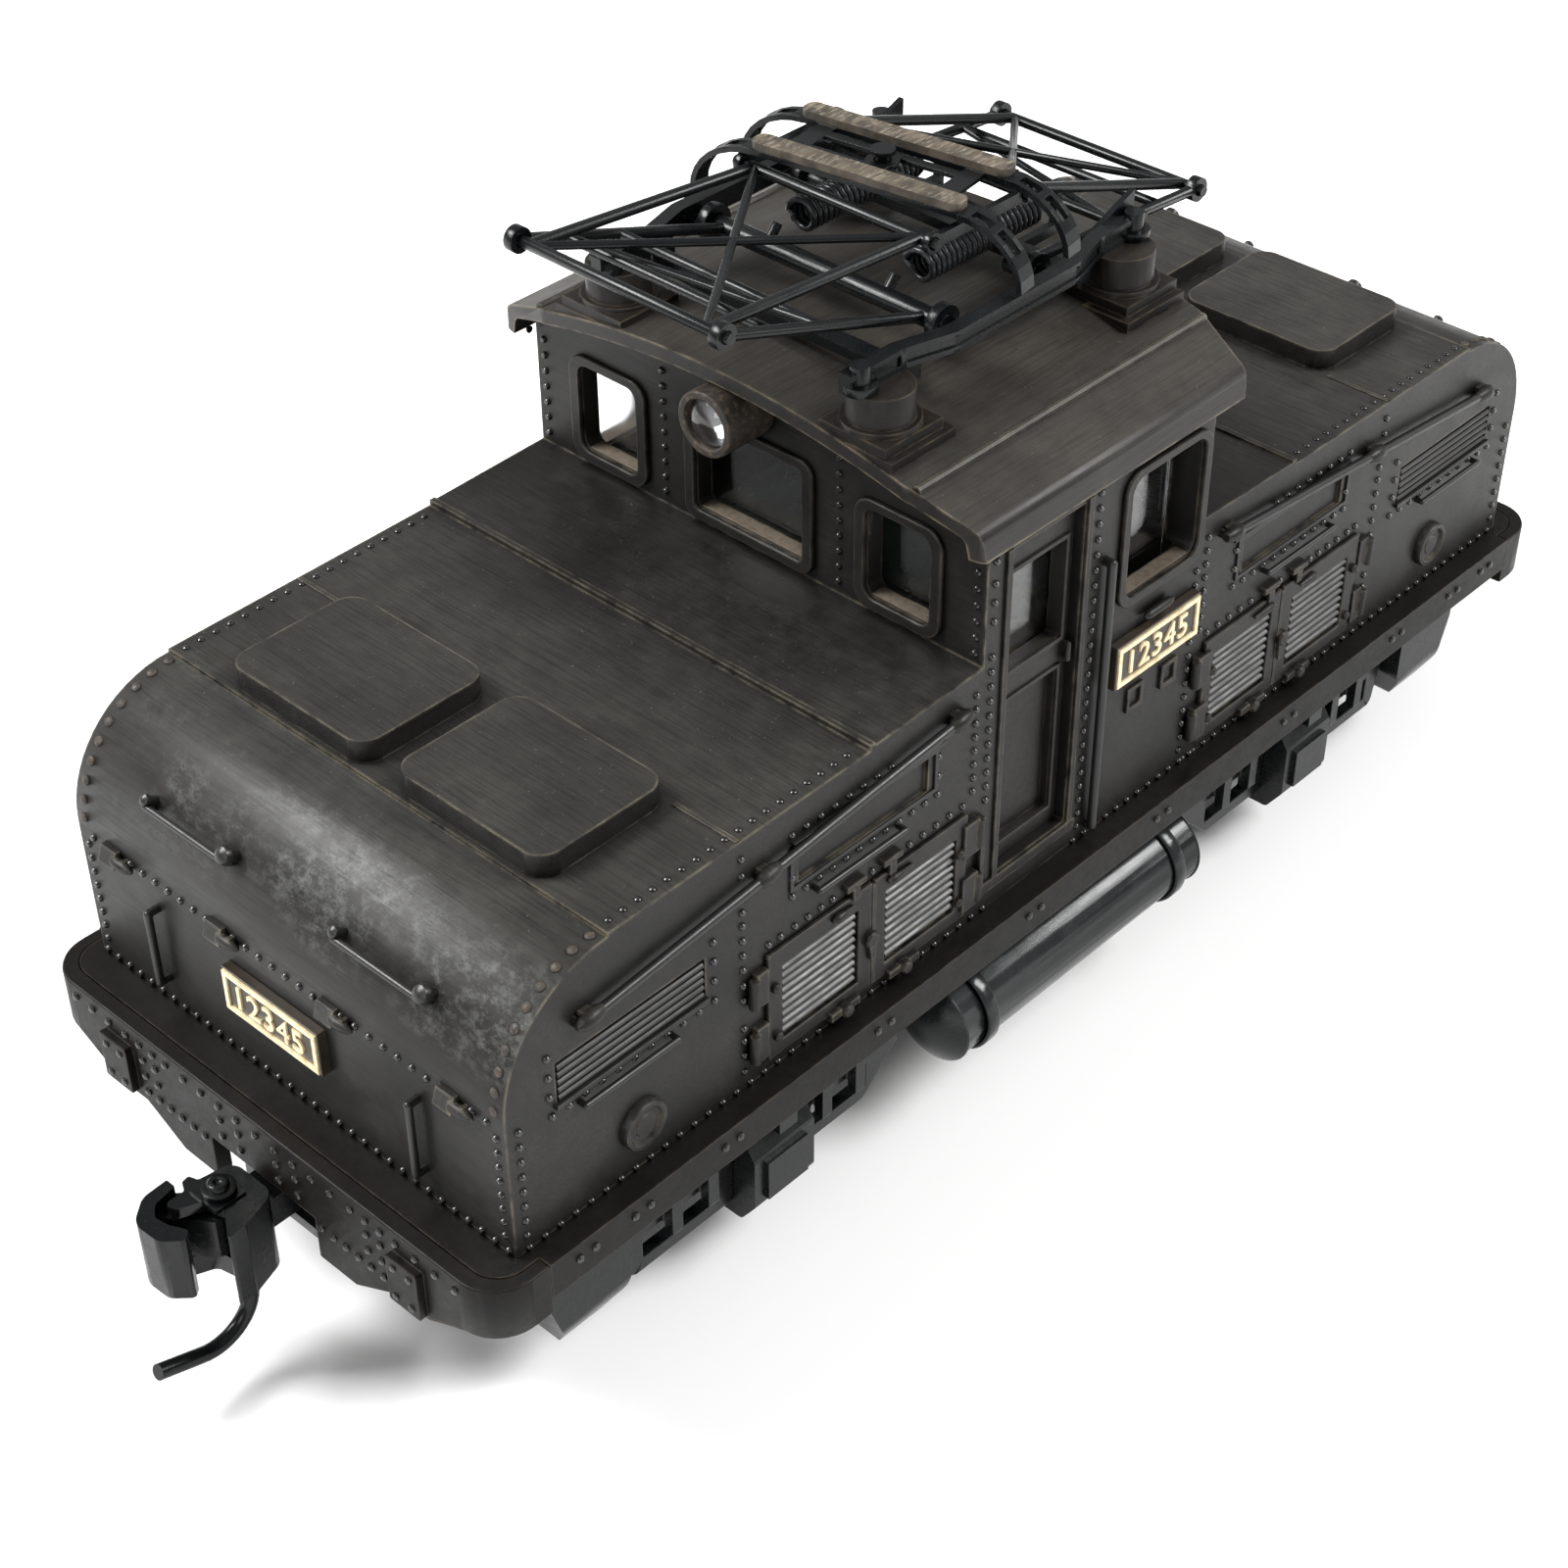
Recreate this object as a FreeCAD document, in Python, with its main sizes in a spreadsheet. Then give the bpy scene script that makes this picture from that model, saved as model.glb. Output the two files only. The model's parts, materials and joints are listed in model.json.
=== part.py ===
import FreeCAD, Part
import math
import os
import re
from types import SimpleNamespace

# Model electric locomotive: a steeple-cab shunter in 1:80 scale on 16.5 mm gauge.
# X runs along the locomotive, Y across it, +Z up.  The origin lies under the middle of the
# model, on the surface that its wheel flanges stand on.  The "near" end is at -X.

Vec = FreeCAD.Vector
Rotation = FreeCAD.Rotation
Placement = FreeCAD.Placement

doc = FreeCAD.newDocument("electric_locomotive")
sheet = doc.addObject("Spreadsheet::Sheet", "dim")

DRIVING_DIMENSIONS = [
    ("deck", 15.2, "footplate top above the flange bottoms"),
    ("deck_plate", 1.0, "footplate thickness"),
    ("deck_half_length", 46.8, "footplate half length, inside the buffer beams"),
    ("deck_half_width", 18.6, "footplate half width"),
    ("skirt", 0.8, "thickness of the side channel and the beam returns"),
    ("skirt_drop", 2.4, "depth of the side channel"),
    ("return_start", 44.0, "where the buffer beam's side returns begin"),
    ("well_half_length", 36.5, "half length of the opening in the footplate"),
    ("well_half_width", 12.4, "half width of the opening in the footplate"),
    ("beam_plate", 1.0, "buffer beam thickness"),
    ("beam_drop", 7.0, "deepest part of the buffer beam below the deck"),
    ("hood_half_length", 44.8, "hood nose from the middle"),
    ("hood_half_width", 17.0, "hood and cab half width"),
    ("hood_rise", 16.6, "hood roof above the deck at the nose"),
    ("nose_radius", 7.3, "curve of the nose"),
    ("wall", 1.2, "body moulding wall"),
    ("cab_half_length", 9.8, "cab end walls from the middle"),
    ("eave_rise", 25.2, "eave tip above the deck"),
    ("shoulder_rise", 28.4, "roof height at its side moulding"),
    ("shoulder_half_width", 13.8, "side moulding from the centre line"),
    ("roof_rise", 30.0, "roof crown above the deck"),
    ("roof_half_length", 12.4, "roof half length"),
    ("roof_plate", 0.9, "roof moulding thickness"),
    ("trim", 0.3, "thickness of window frames and louvre doors"),
    ("door_recess", 0.7, "how far the cab doors are set back"),
    ("door_plate", 0.9, "cab door thickness"),
    ("headlight_rise", 26.95, "headlight axis above the deck"),
    ("headlight_radius", 1.95, "headlight housing radius"),
    ("headlight_front", 13.3, "headlight rim from the middle"),
    ("wheelbase_half", 25.0, "axles from the middle"),
    ("flange_radius", 7.7, "wheel flange radius, also the axle height"),
    ("tread_radius", 7.0, "wheel tread radius"),
    ("wheel_back", 7.2, "wheel back from the centre line"),
    ("wheel_width", 2.8, "wheel width over the flange"),
    ("axle_radius", 1.2, "axle radius"),
    ("running_gap", 0.05, "radial clearance of a shaft in its bush"),
    ("gear_teeth", 20.0, "teeth on each axle gear"),
    ("gear_pitch_radius", 4.0, "pitch radius of the axle gear"),
    ("worm_pitch_radius", 2.0, "pitch radius of the worm"),
    ("gear_width", 2.6, "face width of the axle gear"),
    ("worm_length", 8.0, "threaded length of the worm"),
    ("shaft_radius", 0.75, "motor shaft radius"),
    ("motor_half_length", 8.0, "motor can half length"),
    ("motor_radius", 6.5, "motor can radius"),
    ("block_half_width", 6.0, "chassis block half width"),
    ("coupler_pivot", 42.5, "coupler pivot from the middle"),
    ("coupler_rise", 9.6, "coupler centre height"),
    ("frame_plate_inner", 14.2, "inner face of the side frames"),
    ("frame_plate_outer", 15.0, "outer face of the side frames"),
    ("tank_radius", 2.75, "air tank radius"),
    ("tank_side", 15.5, "air tank axis from the centre line"),
    ("insulator_x", 10.0, "roof insulators from the middle"),
    ("insulator_y", 9.6, "roof insulators from the centre line"),
    ("insulator_top", 32.0, "insulator top above the deck"),
    ("arm_length", 16.2, "pantograph arm length, pivot to pivot"),
    ("arm_pivot_x", 3.8, "pantograph base pivots from the middle"),
    ("arm_pivot_rise", 32.4, "pantograph base pivots above the deck"),
    ("fold_angle", 6.9, "mean arm angle of the folded pantograph, degrees"),
    ("lean_angle", 12.0, "lean of the folded pantograph, degrees"),
    ("arm_side", 7.3, "lower arms from the centre line"),
    ("tube_radius", 0.32, "pantograph tube radius"),
    ("pin_radius", 0.32, "pantograph pin radius"),
    ("strip_half_length", 6.7, "contact strip half length"),
    ("strip_spacing_half", 2.4, "contact strips from the pan head's middle"),
    ("head_turn", 8.0, "how far the pan head is turned on its pin, degrees"),
]

for row, (alias, value, meaning) in enumerate(DRIVING_DIMENSIONS, start=1):
    sheet.set(f"A{row}", meaning)
    sheet.set(f"B{row}", str(value))
    sheet.setAlias(f"B{row}", alias)
doc.recompute()

size = SimpleNamespace(**{alias: sheet.get(alias) for alias, _, _ in DRIVING_DIMENSIONS})
nodes = []


# ---------------------------------------------------------------- modelling helpers

def bound(text):
    """A number, or words that name cells of the sheet, as a FreeCAD expression."""
    return re.sub(r"[a-z][a-z_]+", lambda word: "dim." + word.group(0), str(text))


def locate(piece, x, y, z):
    """Bind a piece's position to three numbers or sheet expressions."""
    for axis, value in zip("xyz", (x, y, z)):
        piece.setExpression("Placement.Base." + axis, bound(value))
    return piece


def box(x, y, z):
    """A block between three pairs of planes, low then high."""
    block = doc.addObject("Part::Box", "Block")
    for side, (low, high) in zip(("Length", "Width", "Height"), (x, y, z)):
        block.setExpression(side, bound(f"({high}) - ({low})"))
    return locate(block, x[0], y[0], z[0])


AXIS_TURNS = {
    "x": Rotation(Vec(0, 1, 0), 90),
    "y": Rotation(Vec(1, 0, 0), -90),
    "z": Rotation(),
}


def bar(axis, radius, length, x, y, z):
    """A round bar that starts at a point and runs along a row axis."""
    solid = doc.addObject("Part::Cylinder", "Bar")
    solid.setExpression("Radius", bound(radius))
    solid.setExpression("Height", bound(length))
    solid.Placement = Placement(Vec(), AXIS_TURNS[axis])
    return locate(solid, x, y, z)


def rod(start, end, radius):
    """A straight round rod between two points."""
    along = end - start
    solid = doc.addObject("Part::Cylinder", "Rod")
    solid.setExpression("Radius", bound(radius))
    solid.Height = along.Length
    solid.Placement = Placement(start, Rotation(Vec(0, 0, 1), along))
    return solid


def ball(centre, radius):
    solid = doc.addObject("Part::Sphere", "Ball")
    solid.setExpression("Radius", bound(radius))
    solid.Placement = Placement(centre, Rotation())
    return solid


def bent_rod(points, radius):
    """A rod along straight runs, with a round elbow at each bend."""
    runs = [rod(start, end, radius) for start, end in zip(points, points[1:])]
    elbows = [ball(point, radius) for point in points[1:-1]]
    return fuse(*runs, *elbows)


def fuse(*pieces):
    joined = doc.addObject("Part::MultiFuse", "Join")
    joined.Shapes = list(pieces)
    return joined


def cut(base, *tools):
    result = doc.addObject("Part::Cut", "Cut")
    result.Base = base
    result.Tool = tools[0] if len(tools) == 1 else fuse(*tools)
    return result


def common(first, second):
    result = doc.addObject("Part::Common", "Common")
    result.Base = first
    result.Tool = second
    return result


def mirrored(piece, normal):
    copy = doc.addObject("Part::Mirroring", "Mirror")
    copy.Source = piece
    copy.Normal = normal
    return copy


def both_ends(*pieces):
    """The pieces and their mirror images at the other end."""
    return [*pieces, *(mirrored(piece, Vec(1, 0, 0)) for piece in pieces)]


def both_sides(*pieces):
    """The pieces and their mirror images on the other side."""
    return [*pieces, *(mirrored(piece, Vec(0, 1, 0)) for piece in pieces)]


def turned_about_middle(*pieces):
    """The pieces and their copies turned half a turn about the vertical axis."""
    halves = [mirrored(mirrored(piece, Vec(1, 0, 0)), Vec(0, 1, 0)) for piece in pieces]
    return [*pieces, *halves]


def node(label, *solids):
    """Name a sub-part.  Several separate solids stay separate inside one compound."""
    if len(solids) == 1:
        piece = solids[0]
    else:
        piece = doc.addObject("Part::Compound", "Group")
        piece.Links = list(solids)
    piece.Label = label
    nodes.append(piece)
    return piece


def draw_outline(sketch, corners):
    """Draw a closed outline; a corner is (x, y) or (x, y, radius)."""
    starts, ends = [], []
    for index, corner in enumerate(corners):
        here = Vec(corner[0], corner[1], 0)
        before = Vec(*corners[index - 1][:2], 0) - here
        after = Vec(*corners[(index + 1) % len(corners)][:2], 0) - here
        before.normalize()
        after.normalize()
        radius = corner[2] if len(corner) > 2 else 0
        half_angle = before.getAngle(after) / 2
        set_back = radius / math.tan(half_angle) if radius else 0
        start, end = here + before * set_back, here + after * set_back
        starts.append(start)
        ends.append(end)
        if radius:
            inward = (before + after).normalize()
            middle = here + inward * (radius / math.sin(half_angle) - radius)
            sketch.addGeometry(Part.Arc(start, middle, end))
    for index, end in enumerate(ends):
        start = starts[(index + 1) % len(starts)]
        if (start - end).Length > 1e-6:
            sketch.addGeometry(Part.LineSegment(end, start))


PLANE_TURNS = {
    "XY": (Rotation(), Vec(0, 0, 1)),
    "XZ": (Rotation(Vec(1, 0, 0), 90), Vec(0, 1, 0)),
    "YZ": (Rotation(Vec(1, 1, 1), 120), Vec(1, 0, 0)),
}


def prism(plane, start, length, *outlines):
    """Extrude outlines along the plane's normal; outlines after the first are holes."""
    turn, normal = PLANE_TURNS[plane]
    sketch = doc.addObject("Sketcher::SketchObject", "Outline")
    for outline in outlines:
        draw_outline(sketch, outline)
    sketch.Placement = Placement(Vec(), turn)
    sketch.setExpression("Placement.Base." + "xyz"[list(normal).index(1)], bound(start))
    solid = doc.addObject("Part::Extrusion", "Prism")
    solid.Base = sketch
    solid.DirMode = "Custom"
    solid.Dir = normal
    solid.setExpression("LengthFwd", bound(length))
    solid.Solid = True
    return solid


def rectangle(x, y, radius=0):
    """A rectangle from pairs of limits, with rounded corners."""
    corners = [(x[0], y[0]), (x[1], y[0]), (x[1], y[1]), (x[0], y[1])]
    return [(*corner, radius) for corner in corners] if radius else corners


def design_body(label):
    body = doc.addObject("PartDesign::Body", label)
    body.Label = label
    return body


def body_sketch(body, role, offset):
    """A sketch on one of the body's own origin planes, at a bound distance from it."""
    plane = next(item for item in body.Origin.OriginFeatures if item.Role == role)
    sketch = body.newObject("Sketcher::SketchObject", "Sketch")
    sketch.AttachmentSupport = [(plane, "")]
    sketch.MapMode = "FlatFace"
    sketch.setExpression("AttachmentOffset.Base.z", bound(offset))
    return sketch


# ---------------------------------------------------------------- footplate and beams

def make_footplate():
    """Flat footplate with a channel along each side and a well for the chassis."""
    length, width = size.deck_half_length, size.deck_half_width
    inner, start = width - size.skirt, size.return_start
    quarter = [(length, 0), (length, inner, 1.8), (start, inner), (start, width)]
    right = quarter + [(-x, y, *rest) for x, y, *rest in reversed(quarter)]
    outline = right + [(-x, -y, *rest) for x, y, *rest in right]
    outline = [corner for corner in outline if corner[1] != 0]
    well = rectangle((-size.well_half_length, size.well_half_length),
                     (-size.well_half_width, size.well_half_width), 1.0)
    plate = prism("XY", "deck - deck_plate", "deck_plate", outline, well)
    channel = box(("-return_start", "return_start"), ("deck_half_width - skirt", "deck_half_width"),
                  ("deck - skirt_drop", "deck - deck_plate"))
    node("footplate", fuse(plate, *both_sides(channel)))


def beam_profile():
    """Lower edge of a buffer beam from the side to the coupler gap: (y, drop below deck)."""
    return [(20.0, 3.4), (16.2, 3.6), (12.4, 5.3), (10.3, 5.3), (7.3, size.beam_drop),
            (4.3, size.beam_drop), (4.3, 4.0)]


def make_buffer_beam():
    """End beam at -X with side returns round the corners and a gap for the coupler."""
    front = -(size.deck_half_length + size.beam_plate)
    inner_x, inner_y = -size.deck_half_length, size.deck_half_width - size.skirt
    start = -size.return_start
    plan = [(start, size.deck_half_width), (front, size.deck_half_width, 2.6),
            (front, -size.deck_half_width, 2.6), (start, -size.deck_half_width),
            (start, -inner_y), (inner_x, -inner_y, 1.8), (inner_x, inner_y, 1.8), (start, inner_y)]
    blank = prism("XY", "deck - beam_drop", "beam_drop", plan)
    edge = [(y, size.deck - drop) for y, drop in beam_profile()]
    below = [(20.0, 0), *edge, *((-y, z) for y, z in reversed(edge)), (-20.0, 0)]
    waste = prism("YZ", "-deck_half_length - 2 * beam_plate", 8, below)
    pads = both_sides(box((front - 0.5, front), (10.8, 13.2), ("deck - 4.8", "deck - 1.5")))
    beam = fuse(cut(blank, waste), *pads)
    node("near_buffer_beam", beam)
    node("far_buffer_beam", mirrored(beam, Vec(1, 0, 0)))


# ---------------------------------------------------------------- body and roof

def hood_outline(length, rise, radius, base):
    """Side view of both hoods together, as a closed outline in X and Z."""
    return [(length, base), (length, base + rise, radius), (-length, base + rise, radius),
            (-length, base)]


def stepped_hood_outline():
    """Outer side view of the hoods: each roof climbs gently from a small step to a raised bead."""
    deck, nose = size.deck, size.hood_half_length
    step = nose - size.nose_radius
    half = [(nose, deck), (nose, deck + size.hood_rise, size.nose_radius), (step, deck + size.hood_rise),
            (step, deck + 16.8), (28.4, deck + 16.92), (18.75, deck + 17.05), (18.75, deck + 17.4),
            (18.35, deck + 17.4), (18.35, deck + 17.25), (size.cab_half_length, deck + 17.5)]
    return half + [(-x, z, *rest) for x, z, *rest in reversed(half)]


def crown_corner(half_width, edge, top):
    """The outline corner whose rounding is a shallow arch from edge to edge."""
    rise = top - edge
    radius = (half_width ** 2 + rise ** 2) / (2 * rise)
    slope = math.asin(half_width / radius)
    return (0, edge + half_width * math.tan(slope), radius)


def roof_line(inset):
    """The roof's cross-section line from one eave to the other, moved inwards by inset."""
    deck, shoulder = size.deck, size.shoulder_half_width
    eave = size.hood_half_width + size.roof_plate - inset
    edge = deck + size.shoulder_rise - inset
    side = [(eave, deck + size.eave_rise), (eave - 0.25, deck + size.eave_rise + 1.6 - inset * 0.5, 0.8),
            (shoulder, edge)]
    crown = crown_corner(shoulder, edge, deck + size.roof_rise - inset)
    return side + [crown] + [(-y, z, *rest) for y, z, *rest in reversed(side)]


def make_cab_roof():
    """Arched roof with rolled eaves, its plan rounded at the corners."""
    outer = roof_line(0)
    inner = roof_line(size.roof_plate)
    shell = prism("YZ", "-roof_half_length", "2 * roof_half_length", outer + inner[::-1])
    width = size.hood_half_width + size.roof_plate + 0.1
    tip = size.roof_half_length - 1.2
    corner = [(size.roof_half_length, size.shoulder_half_width - 0.4, 2.0), (tip, width, 0.6)]
    far = [(x, -y, radius) for x, y, radius in reversed(corner)] + corner
    plan = far + [(-x, y, radius) for x, y, radius in reversed(far)]
    trimmer = prism("XY", "deck + eave_rise - 2", 10, plan)
    node("cab_roof", common(shell, trimmer))


# Openings as (limits along the wall, heights above the deck, corner radius), for the -Y side
# and the -X end.
DOORWAY = ((-7.8, -1.7), (2.2, 24.0), 0.05)
SIDE_WINDOW = ((2.2, 8.85), (15.7, 23.6), 0.9)
END_WINDOWS = [((8.7, 13.3), (18.4, 24.1), 0.7), ((-4.1, 4.1), (18.4, 24.4), 0.4),
               ((-13.3, -8.7), (18.4, 24.1), 0.7)]
LOUVRE_POCKETS = [(-25.7, -19.8), (-17.6, -11.8)]
LOUVRE_HEIGHTS = (1.9, 7.1)


def shifted(limits):
    """Heights above the deck as heights above the flange bottoms."""
    return (size.deck + limits[0], size.deck + limits[1])


def window_cutters():
    """Blocks that open the cab doorways and windows; the two sides match after half a turn."""
    cutters = []
    for side in (-1, 1):
        y = side * size.hood_half_width
        for x_limits, heights, radius in (DOORWAY, SIDE_WINDOW):
            across = sorted(-side * x for x in x_limits)
            outline = rectangle(across, shifted(heights), radius)
            cutters.append(prism("XZ", y - 2, 4, outline))
        x = side * size.cab_half_length
        for y_limits, heights, radius in END_WINDOWS:
            outline = rectangle(y_limits, shifted(heights), radius)
            cutters.append(prism("YZ", x - 2, 4, outline))
    return cutters


def pocket_cutters():
    """Shallow pockets in the hood sides behind the louvres and the small panels."""
    pockets = [(limits, LOUVRE_HEIGHTS, 0.35) for limits in LOUVRE_POCKETS]
    pockets += [((-24.2, -14.1), (11.7, 14.0), 0.25), ((-41.4, -31.1), (8.35, 11.0), 0.3)]
    cutters = []
    for limits, heights, depth in pockets:
        start = f"-hood_half_width - {1 - depth}"
        cutters.append(prism("XZ", start, 1, rectangle(limits, shifted(heights))))
    return both_ends(*both_sides(*cutters))


def make_body_shell():
    """One-piece body: two hoods and the cab walls, open underneath and under the roof."""
    hoods = prism("XZ", "-hood_half_width", "2 * hood_half_width", stepped_hood_outline())
    under_roof = [(y, z - 0.02, *rest) for y, z, *rest in roof_line(size.roof_plate)]
    wall_face = size.hood_half_width - 0.01
    cab_section = [(wall_face, size.deck)] + [(min(max(y, -wall_face), wall_face), z, *rest)
                                              for y, z, *rest in under_roof] + [(-wall_face, size.deck)]
    cab = prism("YZ", "-cab_half_length", "2 * cab_half_length", cab_section)
    hood_room = prism("XZ", "wall - hood_half_width", "2 * (hood_half_width - wall)",
                      hood_outline(size.hood_half_length - size.wall, size.hood_rise - size.wall + 1,
                                   size.nose_radius - size.wall, size.deck - 1))
    cab_room = box(("wall - cab_half_length", "cab_half_length - wall"),
                   ("wall - hood_half_width", "hood_half_width - wall"), ("deck - 1", "deck + 31"))
    node("body_shell", cut(fuse(hoods, cab), hood_room, cab_room, *window_cutters(), *pocket_cutters()))


def make_hood_hatches():
    """Four flat covers with rounded corners, two on each hood behind the nose."""
    cover = prism("XY", "deck + 16", 2.25, rectangle((-37.2, -28.45), (1.1, 12.15), 1.3))
    hoods = prism("XZ", -14, 28, stepped_hood_outline())
    node("hood_hatches", *both_ends(*both_sides(cut(cover, hoods))))


def make_cab_doors():
    """A door set back in each doorway, with a window, a sunk lower panel and a loop handle."""
    (low, high), (sill, head), radius = DOORWAY
    face = "-hood_half_width + door_recess"
    plate = prism("XZ", face, "door_plate",
                  rectangle((low + 0.03, high - 0.03), shifted((sill + 0.03, head - 0.03)), radius),
                  rectangle((-7.05, -2.45), shifted((15.4, 21.9)), 0.3))
    sunk = prism("XZ", face, "door_plate - 0.4", rectangle((-7.0, -2.6), shifted((3.5, 13.4)), 0.1))
    y = size.door_recess - size.hood_half_width
    grip = [Vec(-2.1, y + 0.1, size.deck + 13.9), Vec(-2.1, y - 0.45, size.deck + 13.9),
            Vec(-2.1, y - 0.45, size.deck + 14.9), Vec(-2.1, y + 0.1, size.deck + 14.9)]
    node("cab_doors", *turned_about_middle(fuse(cut(plate, sunk), bent_rod(grip, 0.16))))


def make_window_frames():
    """Raised frames round the cab's end windows and its side windows."""
    frames = []
    for (low, high), heights, radius in END_WINDOWS:
        frame_heights = shifted((heights[0] - 0.7, heights[1] + 0.6))
        outer = rectangle((low - 0.8, high + 0.8), frame_heights, radius + 0.5)
        inner = rectangle((low, high), shifted(heights), radius)
        frames.append(prism("YZ", "-cab_half_length - trim", "trim", outer, inner))
    (low, high), heights, radius = SIDE_WINDOW
    outer = rectangle((low - 0.6, high + 0.6), shifted((heights[0] - 0.6, heights[1] + 0.5)), radius + 0.4)
    side_frame = prism("XZ", "-hood_half_width - trim", "trim", outer,
                       rectangle((low, high), shifted(heights), radius))
    node("window_frames", *both_ends(*frames), *turned_about_middle(side_frame))


def make_cab_glazing():
    """Clear panes that stand just inside the cab walls."""
    inner_y = size.hood_half_width - size.door_recess - size.door_plate - 0.05
    inner_x = size.cab_half_length - size.wall - 0.05
    side = box((-8.2, 8.2), (-inner_y, 0.3 - inner_y), ("deck + 15.0", "deck + 24.4"))
    end = box((-inner_x, 0.3 - inner_x), (-14.6, 14.6), ("deck + 17.8", "deck + 24.9"))
    node("cab_glazing", *both_sides(side), *both_ends(end))


def make_louvre_doors():
    """Pairs of doors on the hood sides, each with a louvred opening."""
    leaves = []
    for leaf, louvre in zip(((-26.8, -18.7), (-18.5, -10.85)), LOUVRE_POCKETS):
        leaves.append(prism("XZ", "-hood_half_width - trim", "trim", rectangle(leaf, shifted((1.0, 8.35))),
                            rectangle(louvre, shifted(LOUVRE_HEIGHTS))))
    node("louvre_doors", *both_ends(*both_sides(*leaves)))


def make_number_plates():
    """Blank number plates: one on each nose and one on each cab side."""
    nose = box(("-hood_half_length - 0.6", "-hood_half_length"), (-3.4, 4.4), ("deck + 3.9", "deck + 6.85"))
    side = box((1.4, 9.2), ("-hood_half_width - 0.6", "-hood_half_width"), ("deck + 10.1", "deck + 13.05"))
    node("number_plates", *turned_about_middle(nose, side))


def side_rail(start, end, radius):
    """A rail beside the -Y wall between two points in X and height above the deck."""
    wall, deck = -size.hood_half_width, size.deck
    outside = wall - 0.5
    return bent_rod([Vec(start[0], wall, deck + start[1]), Vec(start[0], outside, deck + start[1]),
                     Vec(end[0], outside, deck + end[1]), Vec(end[0], wall, deck + end[1])], radius)


def make_handrails():
    """Wire handrails on the noses, the hood sides and the cab sides."""
    deck, nose = size.deck, size.hood_half_length
    rails = []
    for low, high in ((4.2, 10.8), (-11.0, -4.4)):
        posts = [Vec(-43.4, low, deck + 12.75), Vec(-44.3, low, deck + 13.3),
                 Vec(-44.3, high, deck + 13.3), Vec(-43.4, high, deck + 12.75)]
        hood = prism("XZ", -14, 28, stepped_hood_outline())
        rails += both_ends(cut(bent_rod(posts, 0.2), hood))
    for y in (-10.5, 10.5):
        posts = [Vec(-nose, y, deck + 1.9),
                 Vec(-nose - 0.7, y, deck + 1.9),
                 Vec(-nose - 0.7, y, deck + 6.8),
                 Vec(-nose, y, deck + 6.8)]
        rails += both_ends(bent_rod(posts, 0.24))
    hood_runs = [((-40.0, 12.9), (-11.6, 15.65), 0.28), ((-40.0, 7.5), (-33.6, 7.5), 0.18),
                 ((-23.1, 10.7), (-16.4, 10.7), 0.18)]
    for start, end, radius in hood_runs:
        rails += both_ends(*both_sides(side_rail(start, end, radius)))
    rails += turned_about_middle(side_rail((0.4, 0.9), (0.4, 19.3), 0.28))
    node("handrails", *rails)


def make_headlights():
    """A headlight under each end of the roof, with a clear domed lens."""
    depth = size.headlight_front - size.cab_half_length
    housing = bar("x", "headlight_radius", depth, "-headlight_front", 0, "deck + headlight_rise")
    seat = bar("x", 1.45, 1.2, "-headlight_front", 0, "deck + headlight_rise")
    lamp_way = bar("x", 1.05, 4, "-headlight_front + 0.5", 0, "deck + headlight_rise")
    node("headlight_housings", *both_ends(cut(housing, seat, lamp_way)))
    glass = bar("x", 1.42, 0.8, "-headlight_front + 0.4", 0, "deck + headlight_rise")
    dome_radius = 1.9
    dome = ball(Vec(-size.headlight_front + 0.4 + 1.26, 0, size.deck + size.headlight_rise), dome_radius)
    front = box(("-headlight_front - 0.5", "-headlight_front + 0.4"), (-2, 2),
                ("deck + headlight_rise - 2", "deck + headlight_rise + 2"))
    node("headlight_lenses", *both_ends(fuse(glass, common(dome, front))))


# ---------------------------------------------------------------- underframe

def make_side_frames():
    """A plate frame beside each wheel, open at the axle box and slotted above its tie bar."""
    top, bottom = size.deck - size.deck_plate, size.deck - 10.8
    outline = [(-36.0, top), (-36.0, bottom + 3.0), (-35.4, bottom, 0.6), (-16.6, bottom, 0.6),
               (-13.6, bottom + 2.8), (-13.6, top)]
    slots = [rectangle(limits, (bottom + 0.9, bottom + 2.6)) for limits in ((-34.4, -29.0), (-21.0, -16.4))]
    plate = prism("XZ", "-frame_plate_outer", "frame_plate_outer - frame_plate_inner", outline, *slots)
    box_way = box((-27.4, -22.6), (-20, -10), (bottom - 1, "deck - 5.6"))
    plate = cut(plate, box_way)
    ribs = [box((x - 0.4, x + 0.4), ("-frame_plate_outer - 0.7", "-frame_plate_outer"),
                ("deck - 9.0", "deck - 4.0")) for x in (-32.4, -29.6, -20.4, -17.6)]
    node("side_frames", *both_ends(*both_sides(fuse(plate, *ribs))))


def make_axle_boxes():
    """Cast axle boxes that stand out of the side frames, each with a raised lid."""
    body = prism("YZ", -27.4, 4.8, [(-13.4, size.deck - 11.9), (-15.6, size.deck - 11.9, 0.5),
                                    (-16.7, size.deck - 10.3, 0.5), (-16.7, size.deck - 6.8, 0.5),
                                    (-15.9, size.deck - 5.6, 0.3), (-13.4, size.deck - 5.6)])
    lid = box((-26.6, -23.4), (-17.0, -16.6), ("deck - 10.0", "deck - 7.2"))
    node("axle_boxes", *both_ends(*both_sides(fuse(body, lid))))


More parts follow.
